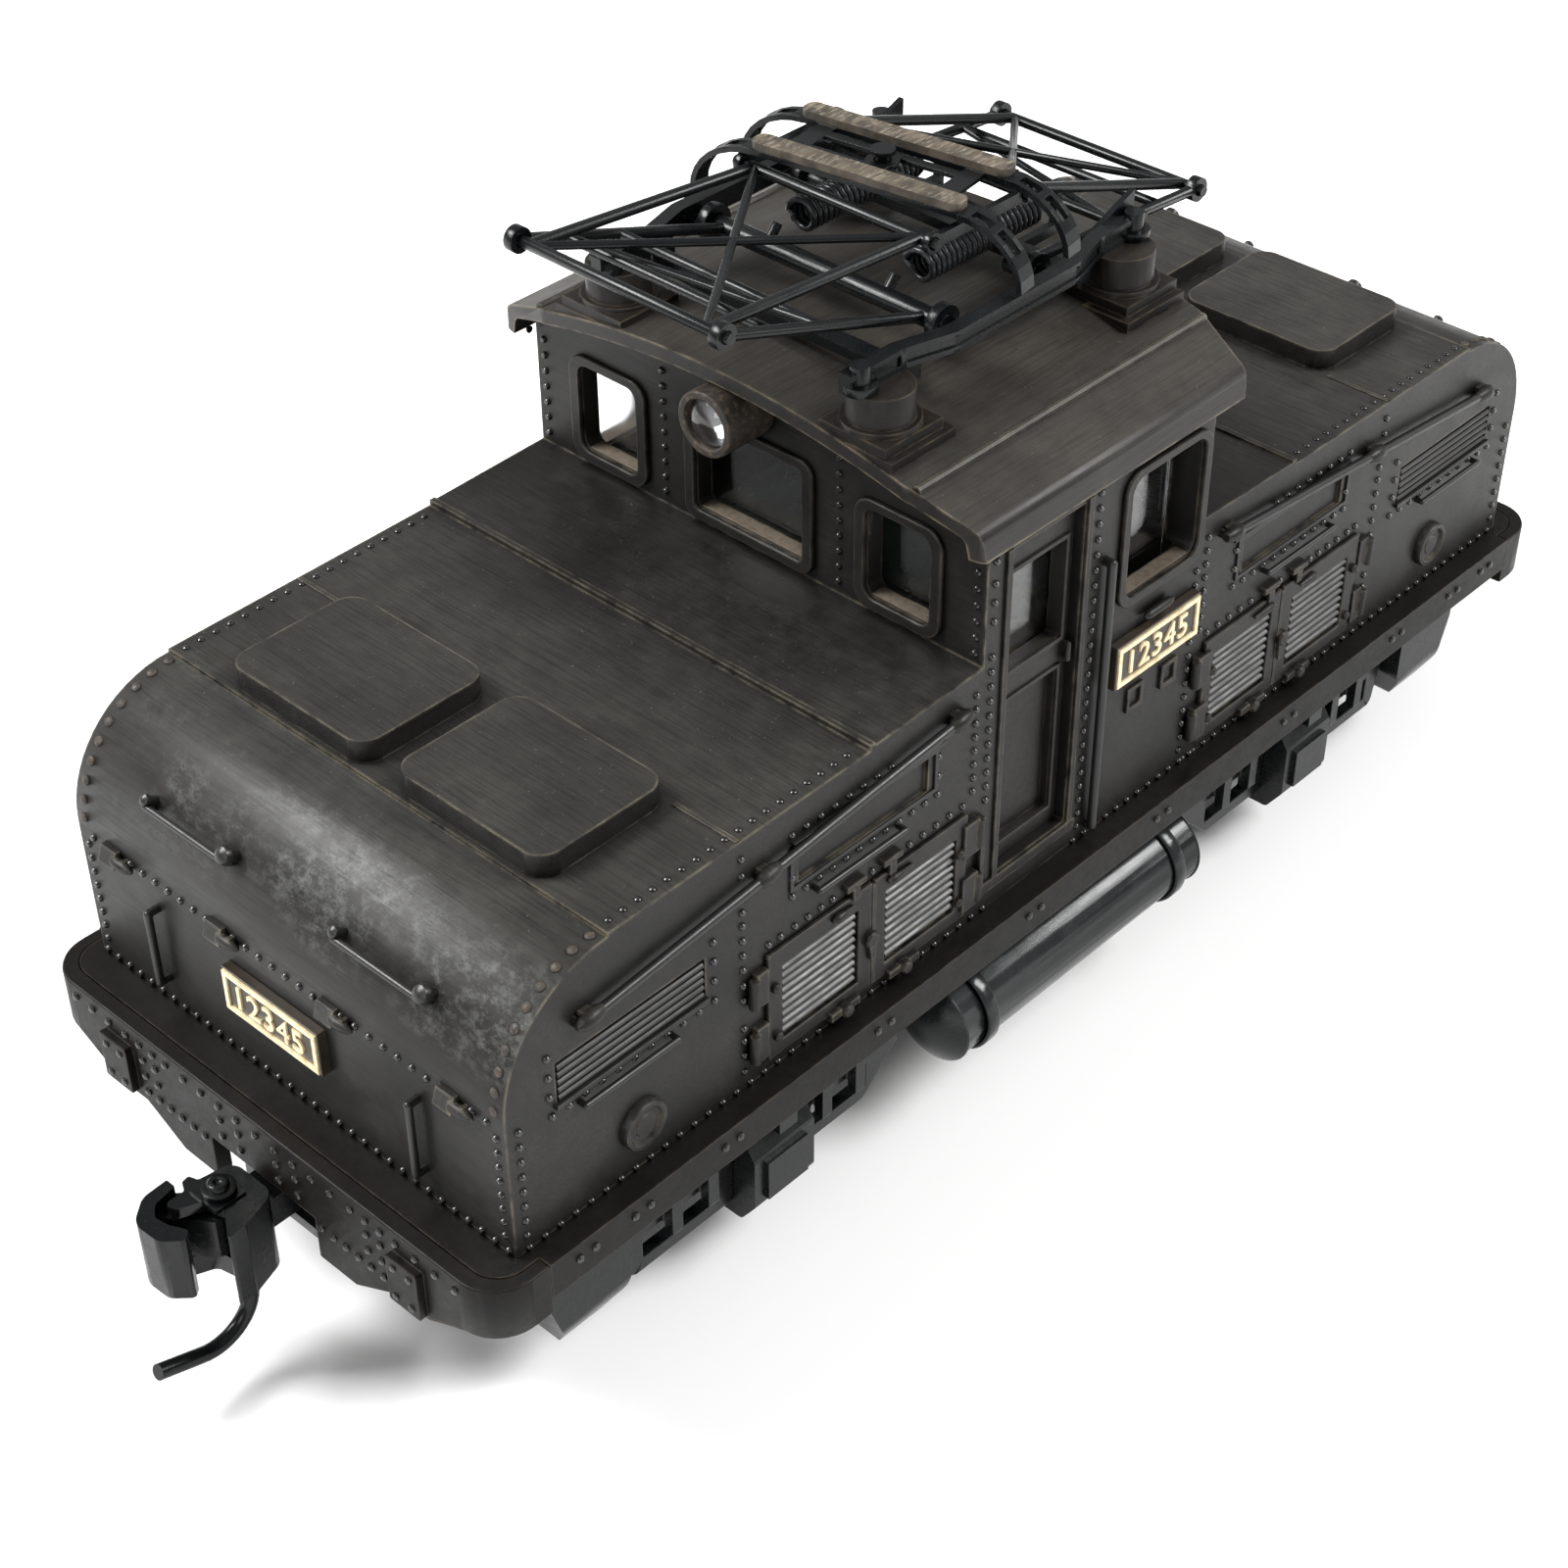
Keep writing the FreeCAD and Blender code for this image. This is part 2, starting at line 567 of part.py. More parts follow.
def make_leaf_springs():
    """Stacked leaves on top of each axle box, with a buckle round the middle."""
    leaves = []
    for index, half in enumerate((6.6, 5.4, 4.2, 3.0)):
        top = 2.6 + 0.3 * index
        heights = (f"deck - {top + 0.3}", f"deck - {top}")
        leaves.append(box((-25 - half, -25 + half), (-16.7, -15.1), heights))
    hangers = [box((x - 0.45, x + 0.45), (-16.5, -15.3), ("deck - 2.6", "deck - 1.0"))
               for x in (-31.2, -18.8)]
    buckle = box((-25.7, -24.3), (-17.0, -15.05), ("deck - 5.6", "deck - 2.4"))
    node("leaf_springs", *both_ends(*both_sides(fuse(*leaves, *hangers, buckle))))


def make_air_tanks():
    """An air tank on each side between the wheels, hung in two straps."""
    rise = "deck - 7.9"
    barrel = bar("x", "tank_radius", 22.4, -11.2, "-tank_side", rise)
    crown = size.tank_radius ** 2 / (2 * 0.9) + 0.45
    ends = []
    for sign in (-1, 1):
        centre = Vec(sign * (12.1 - crown), -size.tank_side, size.deck - 7.9)
        limits = (11.1, 12.2) if sign > 0 else (-12.2, -11.1)
        cap = box(limits, ("-tank_side - 3", "-tank_side + 3"), ("deck - 11", "deck - 5"))
        ends.append(common(ball(centre, crown), cap))
    node("air_tanks", *both_sides(fuse(barrel, *ends)))
    straps = []
    for x in (-9.0, 9.0):
        band = cut(bar("x", "tank_radius + 0.3", 1.0, x - 0.5, "-tank_side", rise),
                   bar("x", "tank_radius + 0.02", 1.4, x - 0.7, "-tank_side", rise))
        hanger = box((x - 0.5, x + 0.5), ("-tank_side - 0.4", "-tank_side + 0.4"),
                     ("deck - 7.8 + tank_radius", "deck - deck_plate"))
        tank_way = bar("x", "tank_radius + 0.02", 1.4, x - 0.7, "-tank_side", rise)
        straps.append(cut(fuse(band, hanger), tank_way))
    node("tank_straps", *both_sides(*straps))


def make_sandboxes():
    """Four sandboxes under the corners, tapered downwards and rolled under along the outer edge."""
    deck = size.deck
    section = [(-12.6, deck - 1.0), (-12.6, deck - 11.2), (-15.0, deck - 11.2), (-16.2, deck - 9.2, 1.6),
               (-16.2, deck - 1.0)]
    outline = [(-42.4, deck - 1.0), (-42.4, deck - 6.4), (-40.8, deck - 11.2), (-37.6, deck - 11.2, 0.9),
               (-36.4, deck - 8.6, 0.9), (-36.4, deck - 1.0)]
    casing = common(prism("YZ", -42.4, 6.0, section), prism("XZ", -16.4, 4.0, outline))
    pipe_points = [Vec(-39.4, -13.6, deck - 9.2), Vec(-39.4, -12.0, deck - 10.6), Vec(-35.6, -9.4, 2.6)]
    pipe = bent_rod(pipe_points, 0.4)
    node("sandboxes", *both_ends(*both_sides(fuse(casing, pipe))))


def make_brake_gear():
    """A brake block on the inner side of each wheel, hung from the footplate."""
    block = prism("XZ", 7.6, 2.0, [(-15.2, 6.0), (-16.8, 5.6), (-16.9, 9.6), (-15.2, 9.2)])
    hanger = box((-16.1, -15.3), (9.6, 10.3), (7.0, "deck - deck_plate"))
    node("brake_gear", *both_ends(*both_sides(fuse(block, hanger))))


# ---------------------------------------------------------------- drive

SHAFT_HEIGHT = "flange_radius + gear_pitch_radius + worm_pitch_radius"


def shaft_height():
    return size.flange_radius + size.gear_pitch_radius + size.worm_pitch_radius


KEEPER_SCREWS = (-33.5, 33.5)


def make_chassis_block():
    """Die-cast block between the wheels with bays for the motor, worms, gears and bushes."""
    block = prism("XZ", "-block_half_width", "2 * block_half_width",
                  [(-36.0, 3.1), (36.0, 3.1), (36.0, 16.6), (-36.0, 16.6)])
    motor_bay = box((-15.6, 15.6), (-7, 7), (6.4, 18))
    cutters = [motor_bay]
    for sign in (-1, 1):
        x = sign * size.wheelbase_half
        tunnel_start = 15.0 if sign > 0 else -31.5
        cutters += [
            bar("x", 3.0, 16.5, tunnel_start, 0, SHAFT_HEIGHT),
            box((x - 8.2, x + 6.5), (-3.0, 3.0), (SHAFT_HEIGHT, 18)),
            box((x - 5.2, x + 5.2), (-2.0, 2.0), (3, SHAFT_HEIGHT)),
            bar("y", "axle_radius + 0.4", 13, x, -6.5, "flange_radius"),
            bar("y", 2.22, 1.8, x, -6.1, "flange_radius"),
            bar("y", 2.22, 1.8, x, 4.3, "flange_radius"),
            bar("z", 1.0, 5, sign * 34.0, 0, 12),
        ]
    cutters += [bar("z", 0.7, 4.5, x, 0, 2.5) for x in KEEPER_SCREWS]
    feet = [box((x - 1.5, x + 1.5), ("block_half_width - 0.1", "well_half_width - 0.1"), (14.2, 16.6))
            for x in (-14.0, 14.0)]
    node("chassis_block", fuse(cut(block, *cutters), *both_sides(*feet)))


def make_keeper_plate():
    """Flat bottom cover under the axles, counterbored so that its screw heads don't stand proud."""
    plate = prism("XY", 2.2, 0.9, rectangle((-35.0, 35.0), (-5.4, 5.4), 1.5))
    holes = [bar("z", 0.7, 2, x, 0, 2) for x in KEEPER_SCREWS]
    sinks = [bar("z", 1.3, 0.8, x, 0, 2) for x in KEEPER_SCREWS]
    node("keeper_plate", cut(plate, *holes, *sinks))


def screw(x, y, seat, head_radius, head_height, shank_radius, shank_length, upward):
    """A cheese-head screw with a cross slot; upward says that it is driven from below."""
    head_low = seat - head_height if upward else seat
    head = bar("z", head_radius, head_height, x, y, head_low)
    slot_low = seat - head_height - 0.1 if upward else seat + head_height - 0.3
    slots = [box((x - head_radius, x + head_radius), (y - 0.12, y + 0.12), (slot_low, slot_low + 0.4)),
             box((x - 0.12, x + 0.12), (y - head_radius, y + head_radius), (slot_low, slot_low + 0.4))]
    shank_low = seat if upward else seat - shank_length
    return fuse(cut(head, *slots), bar("z", shank_radius, shank_length, x, y, shank_low))


def make_chassis_screws():
    """Screws that hold the keeper plate up to the chassis and the ballast down on it."""
    keeper = [screw(x, 0, 2.8, 1.2, 0.5, 0.68, 3.6, True) for x in KEEPER_SCREWS]
    body = [screw(x, 0, 18.4, 1.6, 0.9, 0.95, 5.0, False) for x in (-34.0, 34.0)]
    node("chassis_screws", *keeper, *body)


def make_axle_bushes():
    """Bronze bushes in the chassis block, two for each axle."""
    bushes = []
    for x in (-size.wheelbase_half, size.wheelbase_half):
        for y in (-5.98, 4.32):
            sleeve = bar("y", 2.2, 1.66, x, y, "flange_radius")
            bore = bar("y", "axle_radius + running_gap", 2.2, x, y - 0.2, "flange_radius")
            bushes.append(cut(sleeve, bore))
    node("axle_bushes", *bushes)


def make_motor():
    """Can motor: a steel can with flat sides, plastic end bells and two brush caps."""
    rise = SHAFT_HEIGHT
    can = common(bar("x", "motor_radius", "2 * motor_half_length", "-motor_half_length", 0, rise),
                 box((-9, 9), (-5.4, 5.4), (0, 30)))
    bore = bar("x", "motor_radius - 0.7", "2 * motor_half_length - 1.4", "0.7 - motor_half_length", 0, rise)
    core = common(bore, box((-9, 9), (-4.7, 4.7), (0, 30)))
    hole = bar("x", 1.4, 20, -10, 0, rise)
    node("motor_can", cut(can, core, hole))
    bell = cut(bar("x", 4.0, 1.2, "-motor_half_length - 1.2", 0, rise),
               bar("x", "shaft_radius + running_gap", 2, "-motor_half_length - 1.6", 0, rise))
    node("motor_end_bells", *both_ends(bell))
    cap = bar("y", 0.9, 0.8, "motor_half_length - 2.2", 5.42, rise)
    node("brush_caps", *both_sides(cap))


def helical_thread(pitch, length, root_radius, tip_radius):
    """A single-start thread of trapezium section round the Z axis, from z = 0 up."""
    helix = Part.makeHelix(pitch, length, root_radius)
    inside, foot, crest = root_radius - 0.12, 0.3, 0.15
    section = [Vec(inside, 0, -foot), Vec(tip_radius, 0, -crest),
               Vec(tip_radius, 0, crest), Vec(inside, 0, foot)]
    profile = Part.makePolygon(section + section[:1])
    return Part.Wire(helix).makePipeShell([profile], True, True)


def make_rotor():
    """Motor shaft with its armature, two flywheels and two worms."""
    reach = 30.5
    shaft = bar("x", "shaft_radius", 2 * reach, -reach, 0, SHAFT_HEIGHT)
    armature = bar("x", 4.2, 10, -5, 0, SHAFT_HEIGHT)
    node("motor_shaft", fuse(shaft, armature))
    wheel = cut(bar("x", 5.2, 4.2, -14.2, 0, SHAFT_HEIGHT),
                bar("x", "shaft_radius", 5, -14.6, 0, SHAFT_HEIGHT))
    node("flywheels", *both_ends(wheel))
    pitch = 2 * math.pi * size.gear_pitch_radius / size.gear_teeth
    thread = helical_thread(pitch, size.worm_length - pitch, 1.52, 2.3)
    core = Part.makeCylinder(1.52, size.worm_length, Vec(0, 0, -pitch / 2))
    solid = thread.fuse(core).cut(Part.makeCylinder(size.shaft_radius, 20, Vec(0, 0, -5)))
    worms = []
    for sign in (-1, 1):
        worm = doc.addObject("Part::Feature", "Worm")
        worm.Shape = solid
        # The thread's crests stand half a pitch from the gear's topmost tooth.
        start = sign * size.wheelbase_half - 2.5 * pitch
        turn = Rotation(Vec(1, 0, 0), 0).multiply(AXIS_TURNS["x"])
        worm.Placement = Placement(Vec(start, 0, shaft_height()), turn)
        worms.append(worm)
    node("worms", *worms)


def gear_outline():
    """Closed outline of the axle gear, its topmost tooth pointing straight up."""
    teeth = int(size.gear_teeth)
    root, tip = size.gear_pitch_radius - 0.5, size.gear_pitch_radius + 0.3
    corners = []
    for tooth in range(teeth):
        middle = math.pi / 2 + 2 * math.pi * tooth / teeth
        for radius, offset in ((root, -0.075), (tip, -0.032), (tip, 0.032), (root, 0.075)):
            corners.append((radius * math.cos(middle + offset), radius * math.sin(middle + offset)))
    return corners


def wheel_profile():
    """Half section of a wheel: (distance from the wheel back, radius)."""
    tread, flange = size.tread_radius, size.flange_radius
    return [(0.0, 1.2), (0.0, flange - 0.2, 0.15), (0.35, flange, 0.2), (0.7, flange - 0.25, 0.1),
            (0.85, tread + 0.05, 0.2), (size.wheel_width, tread - 0.1), (size.wheel_width, 5.9),
            (1.9, 5.7), (1.7, 2.9), (2.7, 2.5), (2.7, 1.2)]


def make_wheel(label, x):
    """Disc wheel with a flange, a dished web and a ring of lightening holes, at +Y."""
    body = design_body(label)
    sketch = body_sketch(body, "YZ_Plane", 0)
    profile = [(size.wheel_back + width, radius, *rest) for width, radius, *rest in wheel_profile()]
    draw_outline(sketch, profile)
    disc = body.newObject("PartDesign::Revolution", "Disc")
    disc.Profile = sketch
    disc.ReferenceAxis = (sketch, ["H_Axis"])
    disc.Angle = 360
    doc.recompute()
    hole_sketch = body_sketch(body, "XZ_Plane", -20)
    hole_sketch.addGeometry(Part.Circle(Vec(4.3, 0, 0), Vec(0, 0, 1), 0.85))
    hole = body.newObject("PartDesign::Pocket", "LighteningHole")
    hole.Profile = hole_sketch
    hole.Type = 1
    hole.Midplane = True
    ring = body.newObject("PartDesign::PolarPattern", "HoleRing")
    ring.Originals = [hole]
    ring.Axis = (hole_sketch, ["N_Axis"])
    ring.Angle = 360
    ring.Occurrences = 8
    body.Tip = ring
    locate(body, x, 0, "flange_radius")
    return body


def make_wheelset(end, x):
    """One axle with its gear and its two wheels."""
    reach = "wheel_back + wheel_width + 0.2"
    axle = bar("y", "axle_radius", f"2 * ({reach})", x, f"-({reach})", "flange_radius")
    node(f"{end}_axle", axle)
    blank = prism("XZ", "-gear_width / 2", "gear_width", gear_outline())
    gear = cut(blank, bar("y", "axle_radius", 6, 0, -3, 0))
    gear.Placement = Placement(Vec(), Rotation())
    locate(gear, x, 0, "flange_radius")
    node(f"{end}_axle_gear", gear)
    wheel = make_wheel(f"{end}_wheel", x)
    node(f"{end}_wheels", wheel, mirrored(wheel, Vec(0, 1, 0)))


def make_pickups():
    """Phosphor-bronze wipers that press lightly near each wheel back."""
    strip = box((-31.0, 31.0), (6.05, 6.3), (10.2, 11.4))
    fingers = [box((x - 0.5, x + 0.5), (6.3, 6.75), (10.2, 11.0)) for x in (-29.5, 29.5)]
    node("pickup_wipers", *both_sides(fuse(strip, *fingers)))


def make_ballast():
    """A cast weight that fills each hood above the wheels."""
    outline = [(-42.6, 16.9), (-42.6, 24.5), (-37.0, 28.8), (-16.5, 28.8), (-16.5, 16.9)]
    weight = prism("XZ", -14.8, 29.6, outline)
    pocket = bar("z", 2.0, 14, -34, 0, 18.4)
    through = bar("z", 1.0, 4, -34, 0, 16)
    node("ballast_weights", *both_ends(cut(weight, pocket, through)))


def make_circuit():
    """A lighting board across the hoods and cab, and a lamp in each headlight."""
    pillars = [bar("z", 1.0, 0.7, x, y, 28.8) for x in (-24, 24) for y in (-6, 6)]
    board = box((-28, 28), (-7.5, 7.5), (29.5, 30.3))
    chips = [box((x - 2, x + 2), (y - 1.6, y + 1.6), (28.3, 29.5)) for x, y in ((-6, 2), (5, -3))]
    node("circuit_board", fuse(board, *pillars, *chips))
    lamp = bar("x", 1.0, 1.8, "-headlight_front + 1.4", 0, "deck + headlight_rise")
    node("headlight_lamps", *both_ends(lamp))


# ---------------------------------------------------------------- couplers

def make_coupler_boxes():
    """Draft boxes behind the buffer beams, their lids and screws."""
    pivot, rise = -size.coupler_pivot, size.coupler_rise
    body = box((-46.6, -37.4), (-3.4, 3.4), (rise - 1.6, "deck - deck_plate"))
    room = box((-46.8, -38.2), (-2.6, 2.6), (rise - 1.7, rise + 1.6))
    post = bar("z", 0.9, 3.4, pivot, 0, rise - 1.6)
    hole = bar("z", 0.5, 5.4, pivot, 0, rise - 2.4)
    node("coupler_boxes", *both_ends(cut(fuse(cut(body, room), post), hole)))
    lid = cut(box((-46.6, -37.4), (-3.4, 3.4), (rise - 2.3, rise - 1.6)),
              bar("z", 0.5, 2, pivot, 0, rise - 3))
    node("coupler_box_lids", *both_ends(lid))
    fixing = screw(pivot, 0, rise - 2.3, 1.3, 0.6, 0.49, 4.6, True)
    node("coupler_screws", *both_ends(fixing))


KNUCKLE_PIVOT = (-50.3, 0.35)
TRIP_PIN_X = -50.2
TRIP_PIN_Y = -0.9


def coupler_head_solid(rise, low, high):
    """Swinging shank and cast head, hollowed for the knuckle and bored for the trip pin."""
    pivot = -size.coupler_pivot
    px, py = KNUCKLE_PIVOT
    shank = fuse(bar("z", 2.1, 2.0, pivot, 0, rise - 1),
                 box((-49.0, pivot), (-1.2, 1.2), (rise - 1, rise + 1)))
    plan = [(-48.4, -1.7, 0.9), (-48.4, 1.6, 0.9), (-50.5, 1.9, 0.2), (-50.7, 2.5, 0.15),
            (-51.2, 2.4, 0.15), (-51.5, 1.8, 0.2), (-52.9, 1.8, 0.3), (-52.6, 1.0, 0.3),
            (-51.2, 0.4, 0.6), (-50.9, -0.9, 0.5), (-52.1, -2.6, 0.15), (-50.8, -2.5, 0.4)]
    block = prism("XY", low, high - low, plan)
    room = fuse(bar("z", 1.25, 3.1, px, py, rise - 1.7),
                box((-56, px), (-0.75, 4), (rise - 1.7, rise + 1.4)),
                box((-56, px + 1.0), (1.1, 4), (rise - 1.7, rise + 1.4)))
    pin = fuse(bar("z", 0.45, high - low - 0.6, px, py, low + 0.3), bar("z", 0.62, 0.4, px, py, high))
    plate = box((px - 1.1, px + 0.9), (py - 1.1, py + 1.1), (high - 0.1, high + 0.15))
    pivot_bore = bar("z", 1.0, 4, pivot, 0, rise - 2)
    trip_bore = bar("z", 0.46, 1.0, TRIP_PIN_X, TRIP_PIN_Y, low - 0.1)
    return cut(fuse(shank, cut(block, room), pin, plate), pivot_bore, trip_bore)


def knuckle_solid(rise):
    """Hooked knuckle: a tall curved jaw on a thinner arm that turns on the head's pin."""
    px, py = KNUCKLE_PIVOT
    jaw_plan = [(-51.6, 3.2, 0.1), (-53.3, 3.1, 1.3), (-54.7, 1.9, 1.2), (-54.6, 0.0, 0.8),
                (-53.6, -1.0, 0.3), (-53.0, -0.5, 0.25), (-53.5, 0.5, 0.4), (-53.7, 1.5, 0.6),
                (-53.1, 2.25, 0.6), (-51.6, 2.5, 0.1)]
    jaw = prism("XY", rise - 2.4, 4.4, jaw_plan)
    arm_plan = [(px, py - 1.0), (-51.4, -0.4, 0.3), (-52.7, 1.3, 0.5), (-53.4, 2.6, 0.3), (-51.7, 3.0, 0.3),
                (px + 0.9, py + 0.5)]
    arm = fuse(prism("XY", rise - 1.5, 2.7, arm_plan), bar("z", 1.0, 2.7, px, py, rise - 1.5))
    return cut(fuse(jaw, arm), bar("z", "0.45 + running_gap", 8, px, py, rise - 4))


def trip_pin_solid(low):
    """Bent wire that hangs from the head and sweeps forwards above the rails."""
    radius, sweep, wire = 2.7, 110, 0.46
    drop = low - 1.2
    hanger = bar("z", wire, 2.1, TRIP_PIN_X, TRIP_PIN_Y, drop)
    bend = doc.addObject("Part::Torus", "Bend")
    bend.Radius1, bend.Radius2 = radius, wire
    bend.Angle3 = sweep
    bend.Placement = Placement(Vec(TRIP_PIN_X - radius, TRIP_PIN_Y, drop), Rotation(Vec(1, 0, 0), -90))
    turn = math.radians(sweep)
    start = Vec(TRIP_PIN_X - radius + radius * math.cos(turn), TRIP_PIN_Y, drop - radius * math.sin(turn))
    end = start + Vec(-math.sin(turn), 0, -math.cos(turn)) * 3.0
    return fuse(hanger, bend, rod(start, end, wire))


def make_coupler(end):
    """Coupler head on its swinging shank, its knuckle and its trip pin, made for the near end."""
    rise = size.coupler_rise
    low, high = rise - 3.1, rise + 2.1
    coupler_head = coupler_head_solid(rise, low, high)
    knuckle = knuckle_solid(rise)
    trip_pin = trip_pin_solid(low)
    shapes = ((f"{end}_coupler_head", coupler_head),
              (f"{end}_knuckle", knuckle),
              (f"{end}_trip_pin", trip_pin))
    for label, shape in shapes:
        node(label, shape if end == "near" else turned_about_middle(shape)[1])


# ---------------------------------------------------------------- pantograph

def arm_points():
    """Pivots of the folded pantograph in X and Z, above the flange bottoms."""
    low, high = (math.radians(size.fold_angle + sign * size.lean_angle) for sign in (-1, 1))
    rise, reach, length = size.deck + size.arm_pivot_rise, size.arm_pivot_x, size.arm_length
    near_knee = Vec(-reach - length * math.cos(high), 0, rise + length * math.sin(high))
    far_knee = Vec(reach + length * math.cos(low), 0, rise + length * math.sin(low))
    near_top = near_knee + Vec(length * math.cos(low), 0, length * math.sin(low))
    far_top = far_knee + Vec(-length * math.cos(high), 0, length * math.sin(high))
    return SimpleNamespace(near_base=Vec(-reach, 0, rise), far_base=Vec(reach, 0, rise),
                           near_knee=near_knee, far_knee=far_knee, near_top=near_top, far_top=far_top)


def at_side(point, y):
    return Vec(point.x, y, point.z)


def roof_solid():
    """Everything below the roof's outer surface."""
    outer = roof_line(0)
    return prism("YZ", -14, 28, [*outer, (-outer[0][0], size.deck), (outer[0][0], size.deck)])


def make_insulators():
    """Four plain insulators, each on a flanged foot and a stepped block that fits the roof."""
    x, y = size.insulator_x, size.insulator_y
    base = box((-x - 2.3, -x + 2.8), (-y - 2.8, -y + 2.8), ("deck + shoulder_rise - 1.2", "deck + 29.3"))
    step = box((-x - 2.2, -x + 2.3), (-y - 2.3, -y + 2.3), ("deck + 29.2", "deck + 29.9"))
    foot = bar("z", 2.2, 0.4, -x, -y, "deck + 29.8")
    stem = bar("z", 1.85, "insulator_top - 29.9", -x, -y, "deck + 29.9")
    insulator = cut(fuse(base, step, foot, stem), roof_solid())
    node("roof_insulators", *both_ends(*both_sides(insulator)))


def make_pantograph_base():
    """Two bowed side rails joined by low cross members, with bearings and spring brackets."""
    low, high = size.deck + size.insulator_top, size.deck + size.insulator_top + 1.2
    rail_end = 12.2
    line = [(rail_end, 9.1), (8.2, 9.1), (5.0, 10.0)]
    line += [(-x, y) for x, y in reversed(line)]
    outer = [(x, y + 0.45, 1.5) if abs(x) < rail_end else (x, y + 0.45) for x, y in line]
    inner = [(x, y - 0.45, 1.5) if abs(x) < rail_end else (x, y - 0.45) for x, y in reversed(line)]
    rail = cut(prism("XY", low, 1.2, outer + inner),
               prism("XY", low + 0.3, 0.6, [(x, y + 0.3) for x, y in outer_edge(line)] +
                     [(x, y + 0.15) for x, y in reversed(outer_edge(line))]))
    pieces = both_sides(rail)
    eye = fuse(bar("z", 0.95, 0.5, -11.3, 9.3, low), bar("z", 0.55, 1.5, -11.3, 9.3, low))
    pieces += both_ends(*both_sides(eye))
    for sign in (-1, 1):
        x = sign * 7.1
        pieces.append(box((x - 0.6, x + 0.6), (-9.3, 9.3), ("deck + 30.7", "deck + 31.3")))
        pieces += both_sides(box((x - 0.6, x + 0.6), (8.7, 9.3), ("deck + 30.7", low + 0.1)))
        pivot = sign * size.arm_pivot_x
        bearing = fuse(bar("y", 1.1, 0.6, pivot, 8.05, "deck + arm_pivot_rise"),
                       box((pivot - 0.8, pivot + 0.8), (8.05, 9.75), (low, low + 0.5)))
        bore = bar("y", "0.6 + running_gap", 2, pivot, 7.5, "deck + arm_pivot_rise")
        pieces += both_sides(cut(bearing, bore))
    bracket = fuse(box((6.6, 10.9), (4.05, 4.55), ("deck + 30.7", "deck + 31.3")),
                   box((10.5, 10.9), (4.05, 4.55), ("deck + 30.7", "deck + 33.8")))
    pieces += both_sides(bracket)
    rest = prism("XZ", 8.3, 0.36, [(7.9, high - 0.5), (12.1, high - 0.5), (12.1, high + 1.1)])
    pieces += both_sides(rest)
    node("pantograph_base", fuse(*pieces))


def outer_edge(line):
    """The rail's outer side, where its channel is sunk."""
    return [(x, y + 0.15) for x, y in line]


def make_pantograph_springs():
    """Stand-ins for the two tension springs that lift the arms: the coils' outer shape."""
    rise = size.deck + 33.2
    coil = cut(bar("x", 1.1, 9.6, -1.2, 4.3, rise), bar("x", 0.6, 9.8, -1.3, 4.3, rise))
    ends = [bar("x", 0.9, 0.3, x, 4.3, rise) for x in (-1.2, 8.1)]
    hooks = [bar("x", 0.2, 0.7, -1.8, 4.3, rise), bar("x", 0.2, 2.0, 8.4, 4.3, rise)]
    node("pantograph_springs", *both_sides(fuse(coil, *ends, *hooks)))


def lower_frame(base, knee, whole_shaft):
    """Lower arms with eyes at the knee, braced by a cross tube and diagonals."""
    side = size.arm_side
    along = knee - base
    brace = base + along * 0.53
    brace_end = base + along * 0.78
    pieces = []
    for y in (-side, side):
        eye = cut(bar("y", 0.72, 0.6, knee.x, y - 0.3, knee.z),
                  bar("y", "pin_radius + running_gap", 1, knee.x, y - 0.5, knee.z))
        stop = base + along * (1 - 0.55 / size.arm_length)
        pieces += [eye, rod(at_side(base, y), at_side(stop, y), "tube_radius")]
    shaft_start = -8.75 if whole_shaft else 6.6
    shaft_length = 17.5 if whole_shaft else 2.15
    shaft = bar("y", 0.6, shaft_length, base.x, shaft_start, base.z)
    pieces += [shaft] if whole_shaft else both_sides(shaft)
    pieces.append(rod(at_side(brace, -side), at_side(brace, side), 0.28))
    pieces.append(rod(at_side(brace_end, -side), at_side(brace_end, side), 0.28))
    pieces.append(rod(at_side(brace, -side), at_side(brace_end, side), 0.22))
    if whole_shaft:
        for y in (-4.3, 4.3):
            pieces.append(rod(at_side(base, y), Vec(base.x + 0.9, y, base.z + 1.0), 0.3))
    return fuse(*pieces)


def upper_frame(knee, top):
    """Upper arms as a braced trapezium of tubes between the knee pins and the head pins."""
    wide, narrow = 6.35, 6.0
    near_y, far_y = (-wide, wide), (-narrow, narrow)
    pieces = [bar("y", "tube_radius", 2 * 6.75, knee.x, -6.75, knee.z),
              bar("y", "pin_radius", 2 * 7.9, knee.x, -7.9, knee.z),
              bar("y", "tube_radius", 2 * 6.35, top.x, -6.35, top.z),
              bar("y", "pin_radius", 2 * 7.3, top.x, -7.3, top.z)]
    for start, end in zip(near_y, far_y):
        pieces.append(rod(at_side(knee, start), at_side(top, end), "tube_radius"))
        pieces.append(rod(at_side(knee, start * 0.97), at_side(top, -end * 0.97), 0.24))
    return fuse(*pieces)


def make_pantograph_arms():
    points = arm_points()
    node("near_lower_frame", lower_frame(points.near_base, points.near_knee, True))
    node("far_lower_frame", lower_frame(points.far_base, points.far_knee, False))
    node("near_upper_frame", upper_frame(points.near_knee, points.near_top))
    node("far_upper_frame", upper_frame(points.far_knee, points.far_top))


